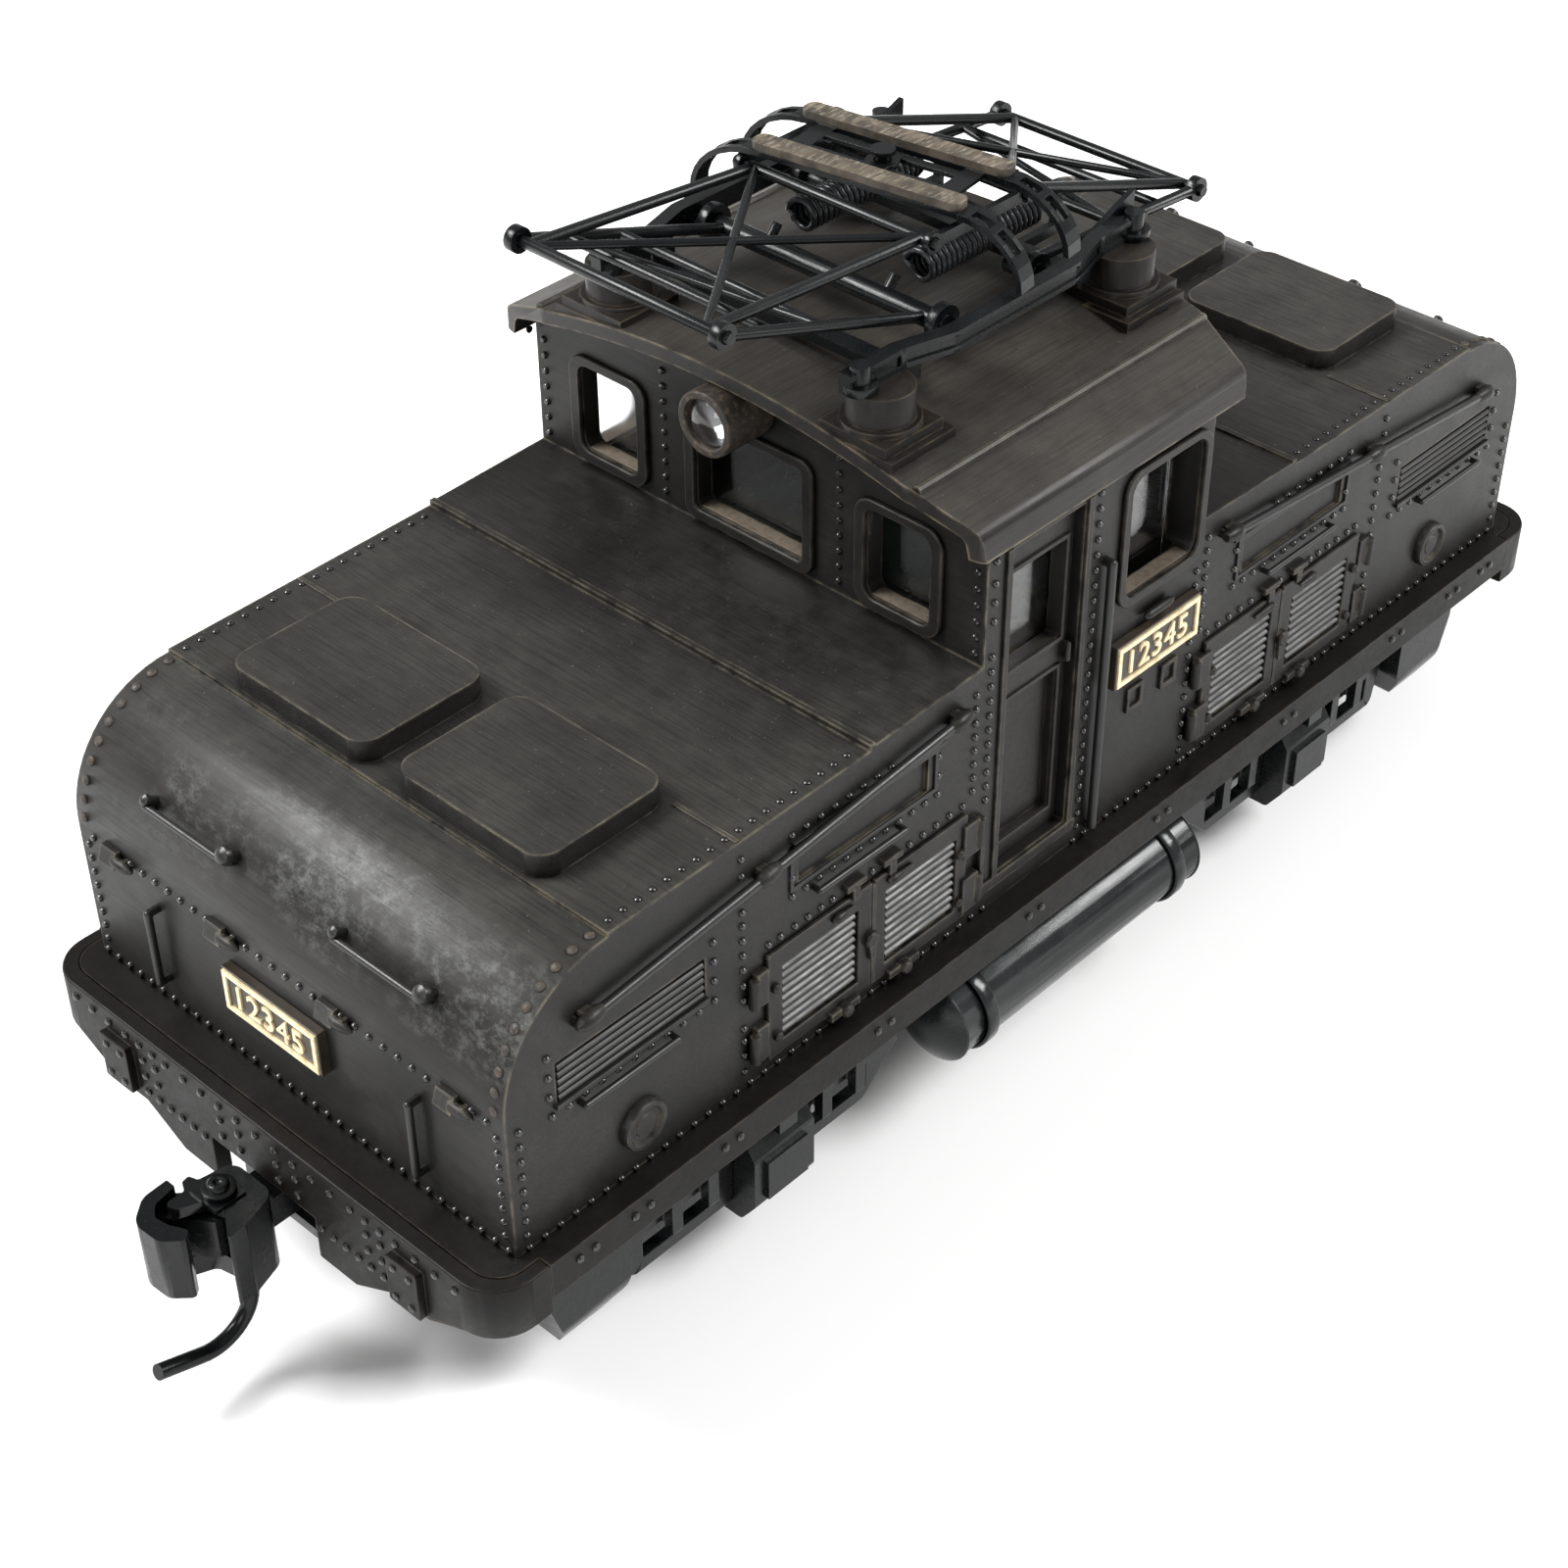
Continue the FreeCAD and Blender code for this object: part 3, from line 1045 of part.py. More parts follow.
def make_pan_cradle():
    """Cradle that links the two head pins and carries the pan head's centre pin."""
    points = arm_points()
    rise = points.near_top.z
    near_x, far_x = points.near_top.x, points.far_top.x
    middle = (near_x + far_x) / 2
    plates = []
    for y in (-7.0, 6.6):
        link = box((near_x, far_x), (y, y + 0.4), (rise - 0.35, rise + 0.35))
        eyes = [bar("y", 0.58, 0.4, x, y, rise) for x in (near_x, far_x)]
        bores = [bar("y", "pin_radius + running_gap", 1, near_x, y - 0.3, rise),
                 bar("y", "pin_radius + 0.16", 1, far_x, y - 0.3, rise)]
        plates.append(cut(fuse(link, *eyes), *bores))
    beam = box((middle - 0.7, middle + 0.7), (-6.7, 6.7), (rise - 0.2, rise + 0.3))
    pin = fuse(bar("z", 0.45, 1.6, middle, 0, rise), bar("z", 0.7, 0.25, middle, 0, rise + 1.5))
    node("pan_cradle", fuse(*plates, beam, pin))


def turned_head(piece, middle):
    """Turn a piece of the pan head about its centre pin."""
    piece.Placement = Placement(Vec(middle, 0, 0), Rotation(Vec(0, 0, 1), size.head_turn))
    return piece


def horn_outline(rise):
    """Quarter-round horn strip in Y and Z, from the strip's end down to the tip."""
    start, reach, drop, thick = size.strip_half_length - 0.3, 4.4, 3.5, 0.35
    outer, inner = [], []
    for step in range(9):
        angle = math.radians(90 * step / 8)
        outer.append((start + reach * math.sin(angle), rise - drop * (1 - math.cos(angle))))
        inner.append((start + (reach - thick) * math.sin(angle),
                      rise - thick - (drop - thick) * (1 - math.cos(angle))))
    inner[-1] = (inner[-1][0], outer[-1][1])
    return outer + inner[::-1]


def make_pan_head():
    """Pan head turned a little on its pin: two shoes with horns, tied by plates and bars."""
    points = arm_points()
    rise = points.near_top.z
    middle = (points.near_top.x + points.far_top.x) / 2
    gap, half = size.strip_spacing_half, size.strip_half_length
    low = rise + 0.8
    pieces = []
    for sign in (-1, 1):
        x = sign * gap
        pieces.append(box((x - 0.7, x + 0.7), (-half, half), (low, low + 0.3)))
        horn = prism("YZ", x - 0.65, 1.3, horn_outline(low + 0.3))
        holes = [box((x - 0.3, x + 0.3), (y, y + 1.2), (low - 3, low + 1))
                 for y in (half + 0.6, half + 2.2)]
        pieces += both_sides(cut(horn, *holes))
    for y in (-5.4, 4.2):
        pieces.append(box((-gap, gap), (y, y + 1.2), (low, low + 0.25)))
    for x in (-0.95, 0.95):
        pieces.append(box((x - 0.3, x + 0.3), (-5.4, 5.4), (low, low + 0.25)))
    boss = fuse(box((-1.2, 1.2), (-0.75, 0.75), (low, low + 0.3)), bar("z", 0.95, 0.3, 0, 0, low))
    bore = bar("z", 0.5, 3, 0, 0, low - 1)
    frame = cut(fuse(*pieces, boss), bore)
    node("pan_head", turned_head(frame, middle))
    strips = []
    for sign in (-1, 1):
        x = sign * gap
        plan = rectangle((x - 0.65, x + 0.65), (-half, half), 0.5)
        strips.append(turned_head(prism("XY", low + 0.3, 0.45, plan), middle))
    node("contact_strips", *strips)


# ---------------------------------------------------------------- build and write

def build():
    make_footplate()
    make_buffer_beam()
    make_body_shell()
    make_cab_roof()
    make_hood_hatches()
    make_cab_doors()
    make_window_frames()
    make_cab_glazing()
    make_louvre_doors()
    make_number_plates()
    make_handrails()
    make_headlights()
    make_side_frames()
    make_axle_boxes()
    make_leaf_springs()
    make_air_tanks()
    make_sandboxes()
    make_brake_gear()
    make_chassis_block()
    make_keeper_plate()
    make_chassis_screws()
    make_axle_bushes()
    make_motor()
    make_rotor()
    make_pickups()
    make_ballast()
    make_circuit()
    make_wheelset("near", -size.wheelbase_half)
    make_wheelset("far", size.wheelbase_half)
    make_coupler_boxes()
    make_coupler("near")
    make_coupler("far")
    make_insulators()
    make_pantograph_base()
    make_pantograph_springs()
    make_pantograph_arms()
    make_pan_cradle()
    make_pan_head()


def write_parts():
    """Check every object, then write one STEP file for each node."""
    doc.recompute()
    for item in doc.Objects:
        if {"Invalid", "Error"} & set(item.State):
            raise RuntimeError(f"{item.Name} ({item.Label}) failed: {item.State}")
    for piece in nodes:
        if piece.Shape.isNull() or not piece.Shape.isValid():
            raise RuntimeError(f"{piece.Label} has no valid shape")
    os.makedirs("parts", exist_ok=True)
    for piece in nodes:
        piece.Shape.exportStep(f"parts/{piece.Label}.step")
    print(len(nodes), "nodes written")


build()
write_parts()
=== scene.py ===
"""Looks of a weathered model electric locomotive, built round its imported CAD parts.

Sizes are in millimetres until a mesh is published, and heights on the body are above the deck.
The near end is at -X and the doors' side that the camera sees is at -Y.
"""

import json
import math

import bmesh
import bpy
from mathutils import Matrix, Vector


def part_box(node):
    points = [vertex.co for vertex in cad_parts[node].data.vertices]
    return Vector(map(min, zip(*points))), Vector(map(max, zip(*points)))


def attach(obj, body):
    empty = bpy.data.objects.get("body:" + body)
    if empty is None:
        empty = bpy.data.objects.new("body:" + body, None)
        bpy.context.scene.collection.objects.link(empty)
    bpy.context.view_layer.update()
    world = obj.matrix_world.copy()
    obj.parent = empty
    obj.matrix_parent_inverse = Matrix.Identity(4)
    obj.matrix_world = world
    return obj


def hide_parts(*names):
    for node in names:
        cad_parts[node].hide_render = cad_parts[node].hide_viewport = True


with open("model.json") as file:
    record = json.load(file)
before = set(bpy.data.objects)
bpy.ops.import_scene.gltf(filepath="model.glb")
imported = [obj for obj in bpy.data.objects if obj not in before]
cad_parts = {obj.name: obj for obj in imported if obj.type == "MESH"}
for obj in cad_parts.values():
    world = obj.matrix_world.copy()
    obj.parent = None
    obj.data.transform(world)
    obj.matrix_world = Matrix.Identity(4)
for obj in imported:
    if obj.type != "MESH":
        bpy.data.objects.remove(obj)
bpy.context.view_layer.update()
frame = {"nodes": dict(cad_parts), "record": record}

MM = 0.001


def cad(node):
    """A CAD node's lowest and highest corners in millimetres."""
    low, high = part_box(node)
    return low / MM, high / MM


DECK = cad("footplate")[1].z
SIDE = cad("body_shell")[1].y
NOSE = cad("body_shell")[1].x
CAB_END = 9.8
BEAM_FACE = cad("near_buffer_beam")[0].x + 0.5
SKIRT = cad("footplate")[1].y
NOSE_RADIUS = 7.3
NOSE_RISE = 16.6
ROOF_RIVET_Y = 16.3
ROOF_START = 28.4
ROOF_RISE = 16.92
ROOF_SLOPE = 0.0133
NOSE_RAIL_RISE = 13.3
RAIL_START = -40.0
RAIL_LOW, RAIL_HIGH = 12.9, 15.65
RAIL_RUN = 28.4
RAIL_TILT = 0.097
KNUCKLE_PIVOT = (50.3, 0.35)

X, Y, Z = Vector((1, 0, 0)), Vector((0, 1, 0)), Vector((0, 0, 1))


# ---------------------------------------------------------------- faces of the body

class Face:
    """A flat face: u runs along it, v up it and w out of it, from its own origin."""

    def __init__(self, origin, along, up, out):
        self.origin, self.along, self.up, self.out = origin, along, up, out

    def at(self, u, v, w=0.0):
        return self.origin + self.along * u + self.up * v + self.out * w


HOOD_SIDES = [Face(Vector((0, sy * SIDE, DECK)), X * sx, Z, Y * sy) for sx in (1, -1) for sy in (-1, 1)]
CAB_SIDES = [Face(Vector((0, -s * SIDE, DECK)), X * s, Z, Y * -s) for s in (1, -1)]
NOSES = [Face(Vector((-s * NOSE, 0, DECK)), Y * s, Z, X * -s) for s in (1, -1)]
CAB_ENDS = [Face(Vector((-s * CAB_END, 0, DECK)), Y * s, Z, X * -s) for s in (1, -1)]
BEAMS = [Face(Vector((s * BEAM_FACE, 0, DECK)), Y * s, Z, X * -s) for s in (1, -1)]
SKIRTS = [Face(Vector((0, -s * SKIRT, DECK)), X * s, Z, Y * -s) for s in (1, -1)]


# ---------------------------------------------------------------- mesh helpers

def loop_faces(mesh, rings, closed=True):
    """Join equal rings of vertices with quads."""
    for first, second in zip(rings, rings[1:]):
        count = len(first)
        for i in range(count if closed else count - 1):
            j = (i + 1) % count
            mesh.faces.new((first[i], first[j], second[j], second[i]))


def cross_axes(axis):
    """Two unit vectors square to an axis."""
    side = axis.orthogonal().normalized()
    return side, axis.cross(side).normalized()


def turned(mesh, centre, axis, profile, sides=24):
    """A turned solid: (radius, height) pairs along the axis, closed at each end."""
    axis = axis.normalized()
    first, second = cross_axes(axis)
    rings = []
    for radius, height in profile:
        middle = centre + axis * height
        rings.append([mesh.verts.new(middle + (first * math.cos(a) + second * math.sin(a)) * radius)
                      for a in (2 * math.pi * i / sides for i in range(sides))])
    loop_faces(mesh, rings)
    mesh.faces.new(rings[0][::-1])
    mesh.faces.new(rings[-1])


def rivet(mesh, centre, out, radius=0.235, height=0.2, sides=10):
    """A low domed rivet head."""
    first, second = cross_axes(out)
    rings = []
    for share, rise in ((1.0, -0.04), (0.92, height * 0.45), (0.6, height * 0.86)):
        rings.append([mesh.verts.new(centre + out * rise + (first * math.cos(a) + second * math.sin(a))
                                     * radius * share)
                      for a in (2 * math.pi * i / sides for i in range(sides))])
    loop_faces(mesh, rings)
    top = mesh.verts.new(centre + out * height)
    for i in range(sides):
        mesh.faces.new((rings[-1][i], rings[-1][(i + 1) % sides], top))
    mesh.faces.new(rings[0][::-1])


def slab(mesh, face, outline, w):
    """A plate with an outline of (u, v) points between two distances out of a face."""
    rings = [[mesh.verts.new(face.at(u, v, depth)) for u, v in outline] for depth in w]
    loop_faces(mesh, rings)
    mesh.faces.new(rings[0][::-1])
    mesh.faces.new(rings[1])


def block(mesh, face, u, v, w):
    """A rectangular boss between pairs of limits."""
    slab(mesh, face, [(u[0], v[0]), (u[1], v[0]), (u[1], v[1]), (u[0], v[1])], w)


def wedge(mesh, face, u, v, w_low, w_high):
    """A boss whose outer face slopes from one height at its foot to another at its top."""
    corners = [(v[0], -0.1), (v[0], w_low), (v[1], w_high), (v[1], -0.1)]
    rings = [[mesh.verts.new(face.at(x, y, depth)) for y, depth in corners] for x in u]
    loop_faces(mesh, rings)
    mesh.faces.new(rings[0][::-1])
    mesh.faces.new(rings[1])


def border(mesh, face, u, v, width, w):
    """A raised rectangular frame of one width."""
    outer = [(u[0], v[0]), (u[1], v[0]), (u[1], v[1]), (u[0], v[1])]
    inner = [(u[0] + width, v[0] + width), (u[1] - width, v[0] + width),
             (u[1] - width, v[1] - width), (u[0] + width, v[1] - width)]
    rings = [[mesh.verts.new(face.at(a, b, depth)) for a, b in line]
             for line, depth in ((outer, w[0]), (outer, w[1]), (inner, w[1]), (inner, w[0]))]
    loop_faces(mesh, rings + rings[:1])


def wire(mesh, points, radius, sides=8):
    """A round wire along a line of points, closed at each end."""
    rings = []
    side = None
    for i, point in enumerate(points):
        ahead = (points[min(i + 1, len(points) - 1)] - points[max(i - 1, 0)]).normalized()
        if side is None:
            side = ahead.orthogonal().normalized()
        side = (side - ahead * side.dot(ahead)).normalized()
        other = ahead.cross(side)
        rings.append([mesh.verts.new(point + (side * math.cos(a) + other * math.sin(a)) * radius)
                      for a in (2 * math.pi * j / sides for j in range(sides))])
    loop_faces(mesh, rings)
    mesh.faces.new(rings[0][::-1])
    mesh.faces.new(rings[-1])


def publish(mesh, name, body, material, edge=0.0, angle=35):
    """Turn a mesh in millimetres into a piece that rides on a body."""
    bmesh.ops.recalc_face_normals(mesh, faces=mesh.faces)
    bmesh.ops.scale(mesh, vec=(MM, MM, MM), verts=mesh.verts)
    data = bpy.data.meshes.new(name)
    mesh.to_mesh(data)
    mesh.free()
    data.shade_smooth()
    data.set_sharp_from_angle(angle=math.radians(angle))
    data.materials.append(material)
    piece = bpy.data.objects.new(name, data)
    bpy.context.scene.collection.objects.link(piece)
    if edge:
        soften(piece, edge)
    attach(piece, body)
    return piece


def soften(piece, width, segments=2):
    """Round the hard edges a little, so that they catch the light."""
    weld = piece.modifiers.new("Weld", "WELD")
    weld.merge_threshold = 0.002 * MM
    bevel = piece.modifiers.new("Bevel", "BEVEL")
    bevel.width = width * MM
    bevel.segments = segments
    bevel.limit_method = "ANGLE"
    bevel.angle_limit = math.radians(38)
    bevel.harden_normals = True


def spread(start, end, count):
    """Evenly spaced values from start to end."""
    return [start + (end - start) * i / (count - 1) for i in range(count)]


# ---------------------------------------------------------------- materials

class Look:
    """A node material under construction. Coordinates are the object's own, in millimetres."""

    def __init__(self, name):
        self.material = bpy.data.materials.new(name)
        self.material.use_nodes = True
        self.tree = self.material.node_tree
        self.shader = self.tree.nodes["Principled BSDF"]
        coordinates = self.node("ShaderNodeTexCoord")
        self.place = self.node("ShaderNodeVectorMath", operation="SCALE")
        self.place.inputs["Scale"].default_value = 1 / MM
        self.link(coordinates.outputs["Object"], self.place.inputs[0])

    def node(self, kind, **settings):
        made = self.tree.nodes.new(kind)
        for key, value in settings.items():
            setattr(made, key, value)
        return made

    def link(self, source, target):
        self.tree.links.new(source, target)

    def set(self, **values):
        for key, value in values.items():
            self.shader.inputs[key.replace("_", " ")].default_value = value

    def noise(self, scale, detail=4.0, stretch=(1, 1, 1), roughness=0.55):
        """Noise whose scale is in cycles per millimetre, stretched along chosen axes."""
        mapping = self.node("ShaderNodeMapping")
        mapping.inputs["Scale"].default_value = stretch
        self.link(self.place.outputs["Vector"], mapping.inputs["Vector"])
        texture = self.node("ShaderNodeTexNoise")
        texture.inputs["Scale"].default_value = scale
        texture.inputs["Detail"].default_value = detail
        texture.inputs["Roughness"].default_value = roughness
        self.link(mapping.outputs["Vector"], texture.inputs["Vector"])
        return texture.outputs["Fac"]

    def between(self, source, low, high, out_low=0.0, out_high=1.0):
        """Map a value from one range to another, held inside it."""
        remap = self.node("ShaderNodeMapRange")
        for key, value in (("From Min", low), ("From Max", high), ("To Min", out_low), ("To Max", out_high)):
            remap.inputs[key].default_value = value
        self.link(source, remap.inputs["Value"])
        return remap.outputs["Result"]

    def times(self, first, second):
        product = self.node("ShaderNodeMath", operation="MULTIPLY", use_clamp=True)
        self.link(first, product.inputs[0])
        if isinstance(second, (int, float)):
            product.inputs[1].default_value = second
        else:
            self.link(second, product.inputs[1])
        return product.outputs[0]

    def plus(self, first, second):
        total = self.node("ShaderNodeMath", operation="ADD", use_clamp=True)
        self.link(first, total.inputs[0])
        self.link(second, total.inputs[1])
        return total.outputs[0]

    def mix(self, factor, first, second):
        """Blend two colours, each a socket or three numbers."""
        blend = self.node("ShaderNodeMix", data_type="RGBA")
        self.link(factor, blend.inputs["Factor"])
        for value, index in ((first, 6), (second, 7)):
            if isinstance(value, tuple):
                blend.inputs[index].default_value = (*value, 1)
            else:
                self.link(value, blend.inputs[index])
        return blend.outputs[2]

    def edges(self, radius):
        """1 on worn outer and inner corners and 0 on flat ground."""
        rounded = self.node("ShaderNodeBevel", samples=6)
        rounded.inputs["Radius"].default_value = radius * MM
        ground = self.node("ShaderNodeNewGeometry")
        facing = self.node("ShaderNodeVectorMath", operation="DOT_PRODUCT")
        self.link(rounded.outputs["Normal"], facing.inputs[0])
        self.link(ground.outputs["Normal"], facing.inputs[1])
        return self.between(facing.outputs["Value"], 0.99, 0.80)

    def shade_in_corners(self, distance):
        """1 in corners and crevices, where shade is painted in."""
        corner_shade = self.node("ShaderNodeAmbientOcclusion", samples=4)
        corner_shade.inputs["Distance"].default_value = distance * MM
        return self.between(corner_shade.outputs["AO"], 0.85, 0.45)

    def upward(self):
        """1 on ground that faces up, where dust lies and where the body's tops take a painted sheen."""
        ground = self.node("ShaderNodeNewGeometry")
        split = self.node("ShaderNodeSeparateXYZ")
        self.link(ground.outputs["Normal"], split.inputs[0])
        return self.between(split.outputs["Z"], 0.35, 0.95)

    def from_middle(self, near, far):
        """0 within one distance of the cab's middle along X, rising to 1 at another."""
        split = self.node("ShaderNodeSeparateXYZ")
        self.link(self.place.outputs["Vector"], split.inputs[0])
        distance = self.node("ShaderNodeMath", operation="ABSOLUTE")
        self.link(split.outputs["X"], distance.inputs[0])
        return self.between(distance.outputs[0], near, far)

    def shoulder(self):
        """1 on ground that slopes between the roof and the noses, where the body's painted sheen and scuffs
        lie.
        """
        ground = self.node("ShaderNodeNewGeometry")
        split = self.node("ShaderNodeSeparateXYZ")
        self.link(ground.outputs["Normal"], split.inputs[0])
        forward = self.node("ShaderNodeMath", operation="ABSOLUTE")
        self.link(split.outputs["X"], forward.inputs[0])
        return self.between(self.times(forward.outputs[0], split.outputs["Z"]), 0.22, 0.48)

    def bump(self, source, distance, strength=1.0):
        relief = self.node("ShaderNodeBump")
        relief.inputs["Strength"].default_value = strength
        relief.inputs["Distance"].default_value = distance * MM
        self.link(source, relief.inputs["Height"])
        self.link(relief.outputs["Normal"], self.shader.inputs["Normal"])

    def colour(self, source):
        self.link(source, self.shader.inputs["Base Color"])

    def rough(self, source):
        self.link(source, self.shader.inputs["Roughness"])


def weathered(name, paint, dust, worn, rough, wear=0.6, dusty=0.6, grain=(1, 1, 1), bump=0.012, edge=0.22,
              gloss=0.4, body=False):
    """Old satin paint: mottled, brushed, dusty on top and rubbed along its edges, with painted shade in its
    corners; the body's tops and shoulders also carry a painted sheen.
    """
    look = Look(name)
    blotch = look.noise(0.11, 6)
    film = look.between(look.noise(0.55, 8, roughness=0.65), 0.3, 0.75)
    brushed = look.noise(2.6, 5, stretch=grain, roughness=0.7)
    speck = look.between(look.noise(4.2, 2), 0.70, 0.76, 0, 0.55)
    settled = look.times(look.times(look.between(blotch, 0.34, 0.62), film), dusty)
    # Lighter on upward ground: dust, and on the body's hood tops also a painted sheen; beside the cab the
    # tops keep their darker paint.
    dust_and_sheen_on_top = look.times(look.upward(), look.between(blotch, 0.2, 0.6, 0.45 * dusty, dusty))
    if body:
        dust_and_sheen_on_top = look.times(dust_and_sheen_on_top, look.from_middle(12, 24))
    ground = look.mix(look.plus(settled, dust_and_sheen_on_top), paint, dust)
    ground = look.mix(look.between(brushed, 0.45, 0.7, 0, 0.6), ground, tuple(0.45 * part for part in paint))
    if body:
        # Pale mottled band on the sloping shoulders: partly scuffed dust, partly a painted sheen where the
        # light glints on the curve.
        sheen_and_scuff = look.between(look.noise(1.5, 9, stretch=(1, 0.7, 1), roughness=0.78), 0.47, 0.64)
        patch = look.between(look.noise(0.16, 3), 0.38, 0.58)
        sheen_and_scuff = look.times(look.times(sheen_and_scuff, patch), look.shoulder())
        ground = look.mix(look.times(sheen_and_scuff, 0.85), ground, (0.105, 0.107, 0.099))
    ground = look.mix(look.times(speck, look.upward()), ground, tuple(min(1, 2.6 * part) for part in dust))
    # Painted shade: corners and crevices darkened towards a fifth of the paint's colour.
    ground = look.mix(look.times(look.shade_in_corners(0.9), 0.9), ground, tuple(0.2 * part for part in paint))
    rubbed = look.times(look.edges(edge), look.between(look.noise(0.8, 6), 0.35, 0.62))
    look.colour(look.mix(look.times(rubbed, wear), ground, worn))
    look.rough(look.between(look.plus(look.times(brushed, 0.7), look.times(film, 0.4)), 0.1, 0.9,
                            rough - 0.12, rough + 0.16))
    look.bump(brushed, bump, 0.6)
    look.set(Specular_IOR_Level=gloss)
    return look.material


def worn_metal(name, base, dirt, rough, metallic=1.0, grime=0.5, grain=(1, 1, 1), bump=0.006):
    """Bare or plated metal with fine machining marks, grime stains and painted shade in its corners."""
    look = Look(name)
    marks = look.noise(3.0, 4, stretch=grain, roughness=0.6)
    stain = look.between(look.noise(0.35, 6), 0.4, 0.7)
    ground = look.mix(look.times(stain, grime), base, dirt)
    # Painted shade: corners darkened towards four tenths of the dirt colour.
    look.colour(look.mix(look.times(look.shade_in_corners(0.6), 0.8), ground, tuple(0.4 * part for part in dirt)))
    look.rough(look.between(marks, 0.25, 0.8, rough - 0.08, rough + 0.14))
    look.bump(marks, bump, 0.5)
    look.set(Metallic=metallic)
    return look.material


def moulded(name, base, rough, shade=0.75):
    """Plain moulded plastic with a faint mottle."""
    look = Look(name)
    mottle = look.between(look.noise(0.8, 5), 0.3, 0.7)
    look.colour(look.mix(mottle, base, tuple(part * shade for part in base)))
    look.rough(look.between(look.noise(3.0, 3), 0.3, 0.7, rough - 0.06, rough + 0.08))
    look.bump(look.noise(5.0, 3), 0.004, 0.5)
    return look.material


def clear(name, tint, rough=0.04):
    """Clear moulded plastic with a faint haze."""
    look = Look(name)
    look.set(Transmission_Weight=1.0, IOR=1.49, Base_Color=(*tint, 1))
    look.rough(look.between(look.noise(0.4, 4), 0.4, 0.8, rough, rough + 0.12))
    return look.material


def rubbed_silver(name):
    """Black paint dry-brushed with silver along the proud edges of the slats."""
    look = Look(name)
    split = look.node("ShaderNodeSeparateXYZ")
    look.link(look.place.outputs["Vector"], split.inputs[0])
    reach = look.node("ShaderNodeMath", operation="ABSOLUTE")
    look.link(split.outputs["Y"], reach.inputs[0])
    proud = look.between(reach.outputs[0], SIDE + 0.05, SIDE + 0.17)
    streak = look.between(look.noise(1.0, 5, stretch=(0.5, 1, 1.5), roughness=0.7), 0.32, 0.62, 0.1, 1)
    silver = look.times(proud, streak)
    look.colour(look.mix(silver, (0.0060, 0.0058, 0.0055), (0.080, 0.081, 0.078)))
    look.link(look.times(silver, 0.5), look.shader.inputs["Metallic"])
    look.rough(look.between(silver, 0, 1, 0.5, 0.38))
    look.bump(streak, 0.01, 0.5)
    return look.material


def rusty(name):
    """Brown wash over black, with lighter ochre spots."""
    look = Look(name)
    wash = look.between(look.noise(1.1, 7), 0.32, 0.66)
    spot = look.between(look.noise(3.2, 4), 0.52, 0.68)
    ground = look.mix(wash, (0.010, 0.0085, 0.0072), (0.034, 0.024, 0.016))
    look.colour(look.mix(look.times(spot, 0.5), ground, (0.13, 0.09, 0.055)))
    look.rough(look.between(wash, 0, 1, 0.45, 0.75))
    look.bump(wash, 0.02, 0.6)
    return look.material


def contact_strip(name):
    """Brown strip rubbed to bare metal in streaks along X, where the wire slides."""
    look = Look(name)
    stain = look.between(look.noise(0.9, 6), 0.35, 0.65)
    scrape = look.between(look.noise(2.2, 5, stretch=(0.5, 2.2, 1), roughness=0.7), 0.50, 0.66)
    ground = look.mix(stain, (0.028, 0.022, 0.0165), (0.085, 0.068, 0.048))
    look.colour(look.mix(look.times(scrape, look.upward()), ground, (0.20, 0.172, 0.130)))
    look.rough(look.between(scrape, 0, 1, 0.62, 0.42))
    look.bump(scrape, 0.02, 0.5)
    return look.material


def number_plate_field(name):
    """Dark brown enamel between the raised brass lines."""
    look = Look(name)
    tone = look.between(look.noise(0.9, 6), 0.3, 0.7)
    look.colour(look.mix(tone, (0.016, 0.0115, 0.008), (0.036, 0.025, 0.015)))
    look.rough(look.between(tone, 0, 1, 0.35, 0.5))
    look.bump(look.noise(4, 3), 0.005, 0.4)
    return look.material


def plate_gold(name):
    """Pale gold leaf on the plates' raised lines and digits."""
    look = Look(name)
    wear = look.between(look.noise(1.6, 6), 0.45, 0.7)
    look.colour(look.mix(wear, (0.86, 0.72, 0.46), (0.55, 0.43, 0.24)))
    look.set(Metallic=0.35)
    look.rough(look.between(wear, 0, 1, 0.34, 0.5))
    return look.material


def circuit(name):
    """Board under dark green lacquer, with its tracks a little lighter."""
    look = Look(name)
    track = look.between(look.noise(0.5, 0, stretch=(0.3, 2.0, 1)), 0.52, 0.54)
    look.colour(look.mix(track, (0.003, 0.014, 0.007), (0.006, 0.028, 0.013)))
    look.rough(look.between(look.noise(2, 3), 0.3, 0.7, 0.25, 0.4))
    return look.material


BRUSHED_ACROSS = (2.6, 0.10, 2.6)
BRUSHED_ALONG = (0.10, 2.6, 2.6)

body_black = weathered("body_black", (0.0088, 0.0083, 0.0076), (0.036, 0.0345, 0.031), (0.19, 0.162, 0.118),
                       0.38, wear=0.6, dusty=0.6, grain=BRUSHED_ACROSS, edge=0.3, gloss=0.20, body=True)
rivet_black = weathered("rivet_black", (0.0080, 0.0075, 0.0070), (0.024, 0.0225, 0.020), (0.12, 0.10, 0.075),
                        0.22, wear=0.2, dusty=0.3, edge=0.1, gloss=0.55)
roof_black = weathered("roof_black", (0.0110, 0.0095, 0.0082), (0.038, 0.0345, 0.029), (0.21, 0.17, 0.118),
                       0.38, wear=0.9, dusty=0.75, grain=BRUSHED_ALONG, edge=0.3, gloss=0.26)
footplate_black = weathered("footplate_black", (0.0048, 0.0041, 0.0036), (0.0125, 0.0108, 0.0095),
                            (0.105, 0.080, 0.056), 0.40, wear=0.5, dusty=0.4, gloss=0.15)
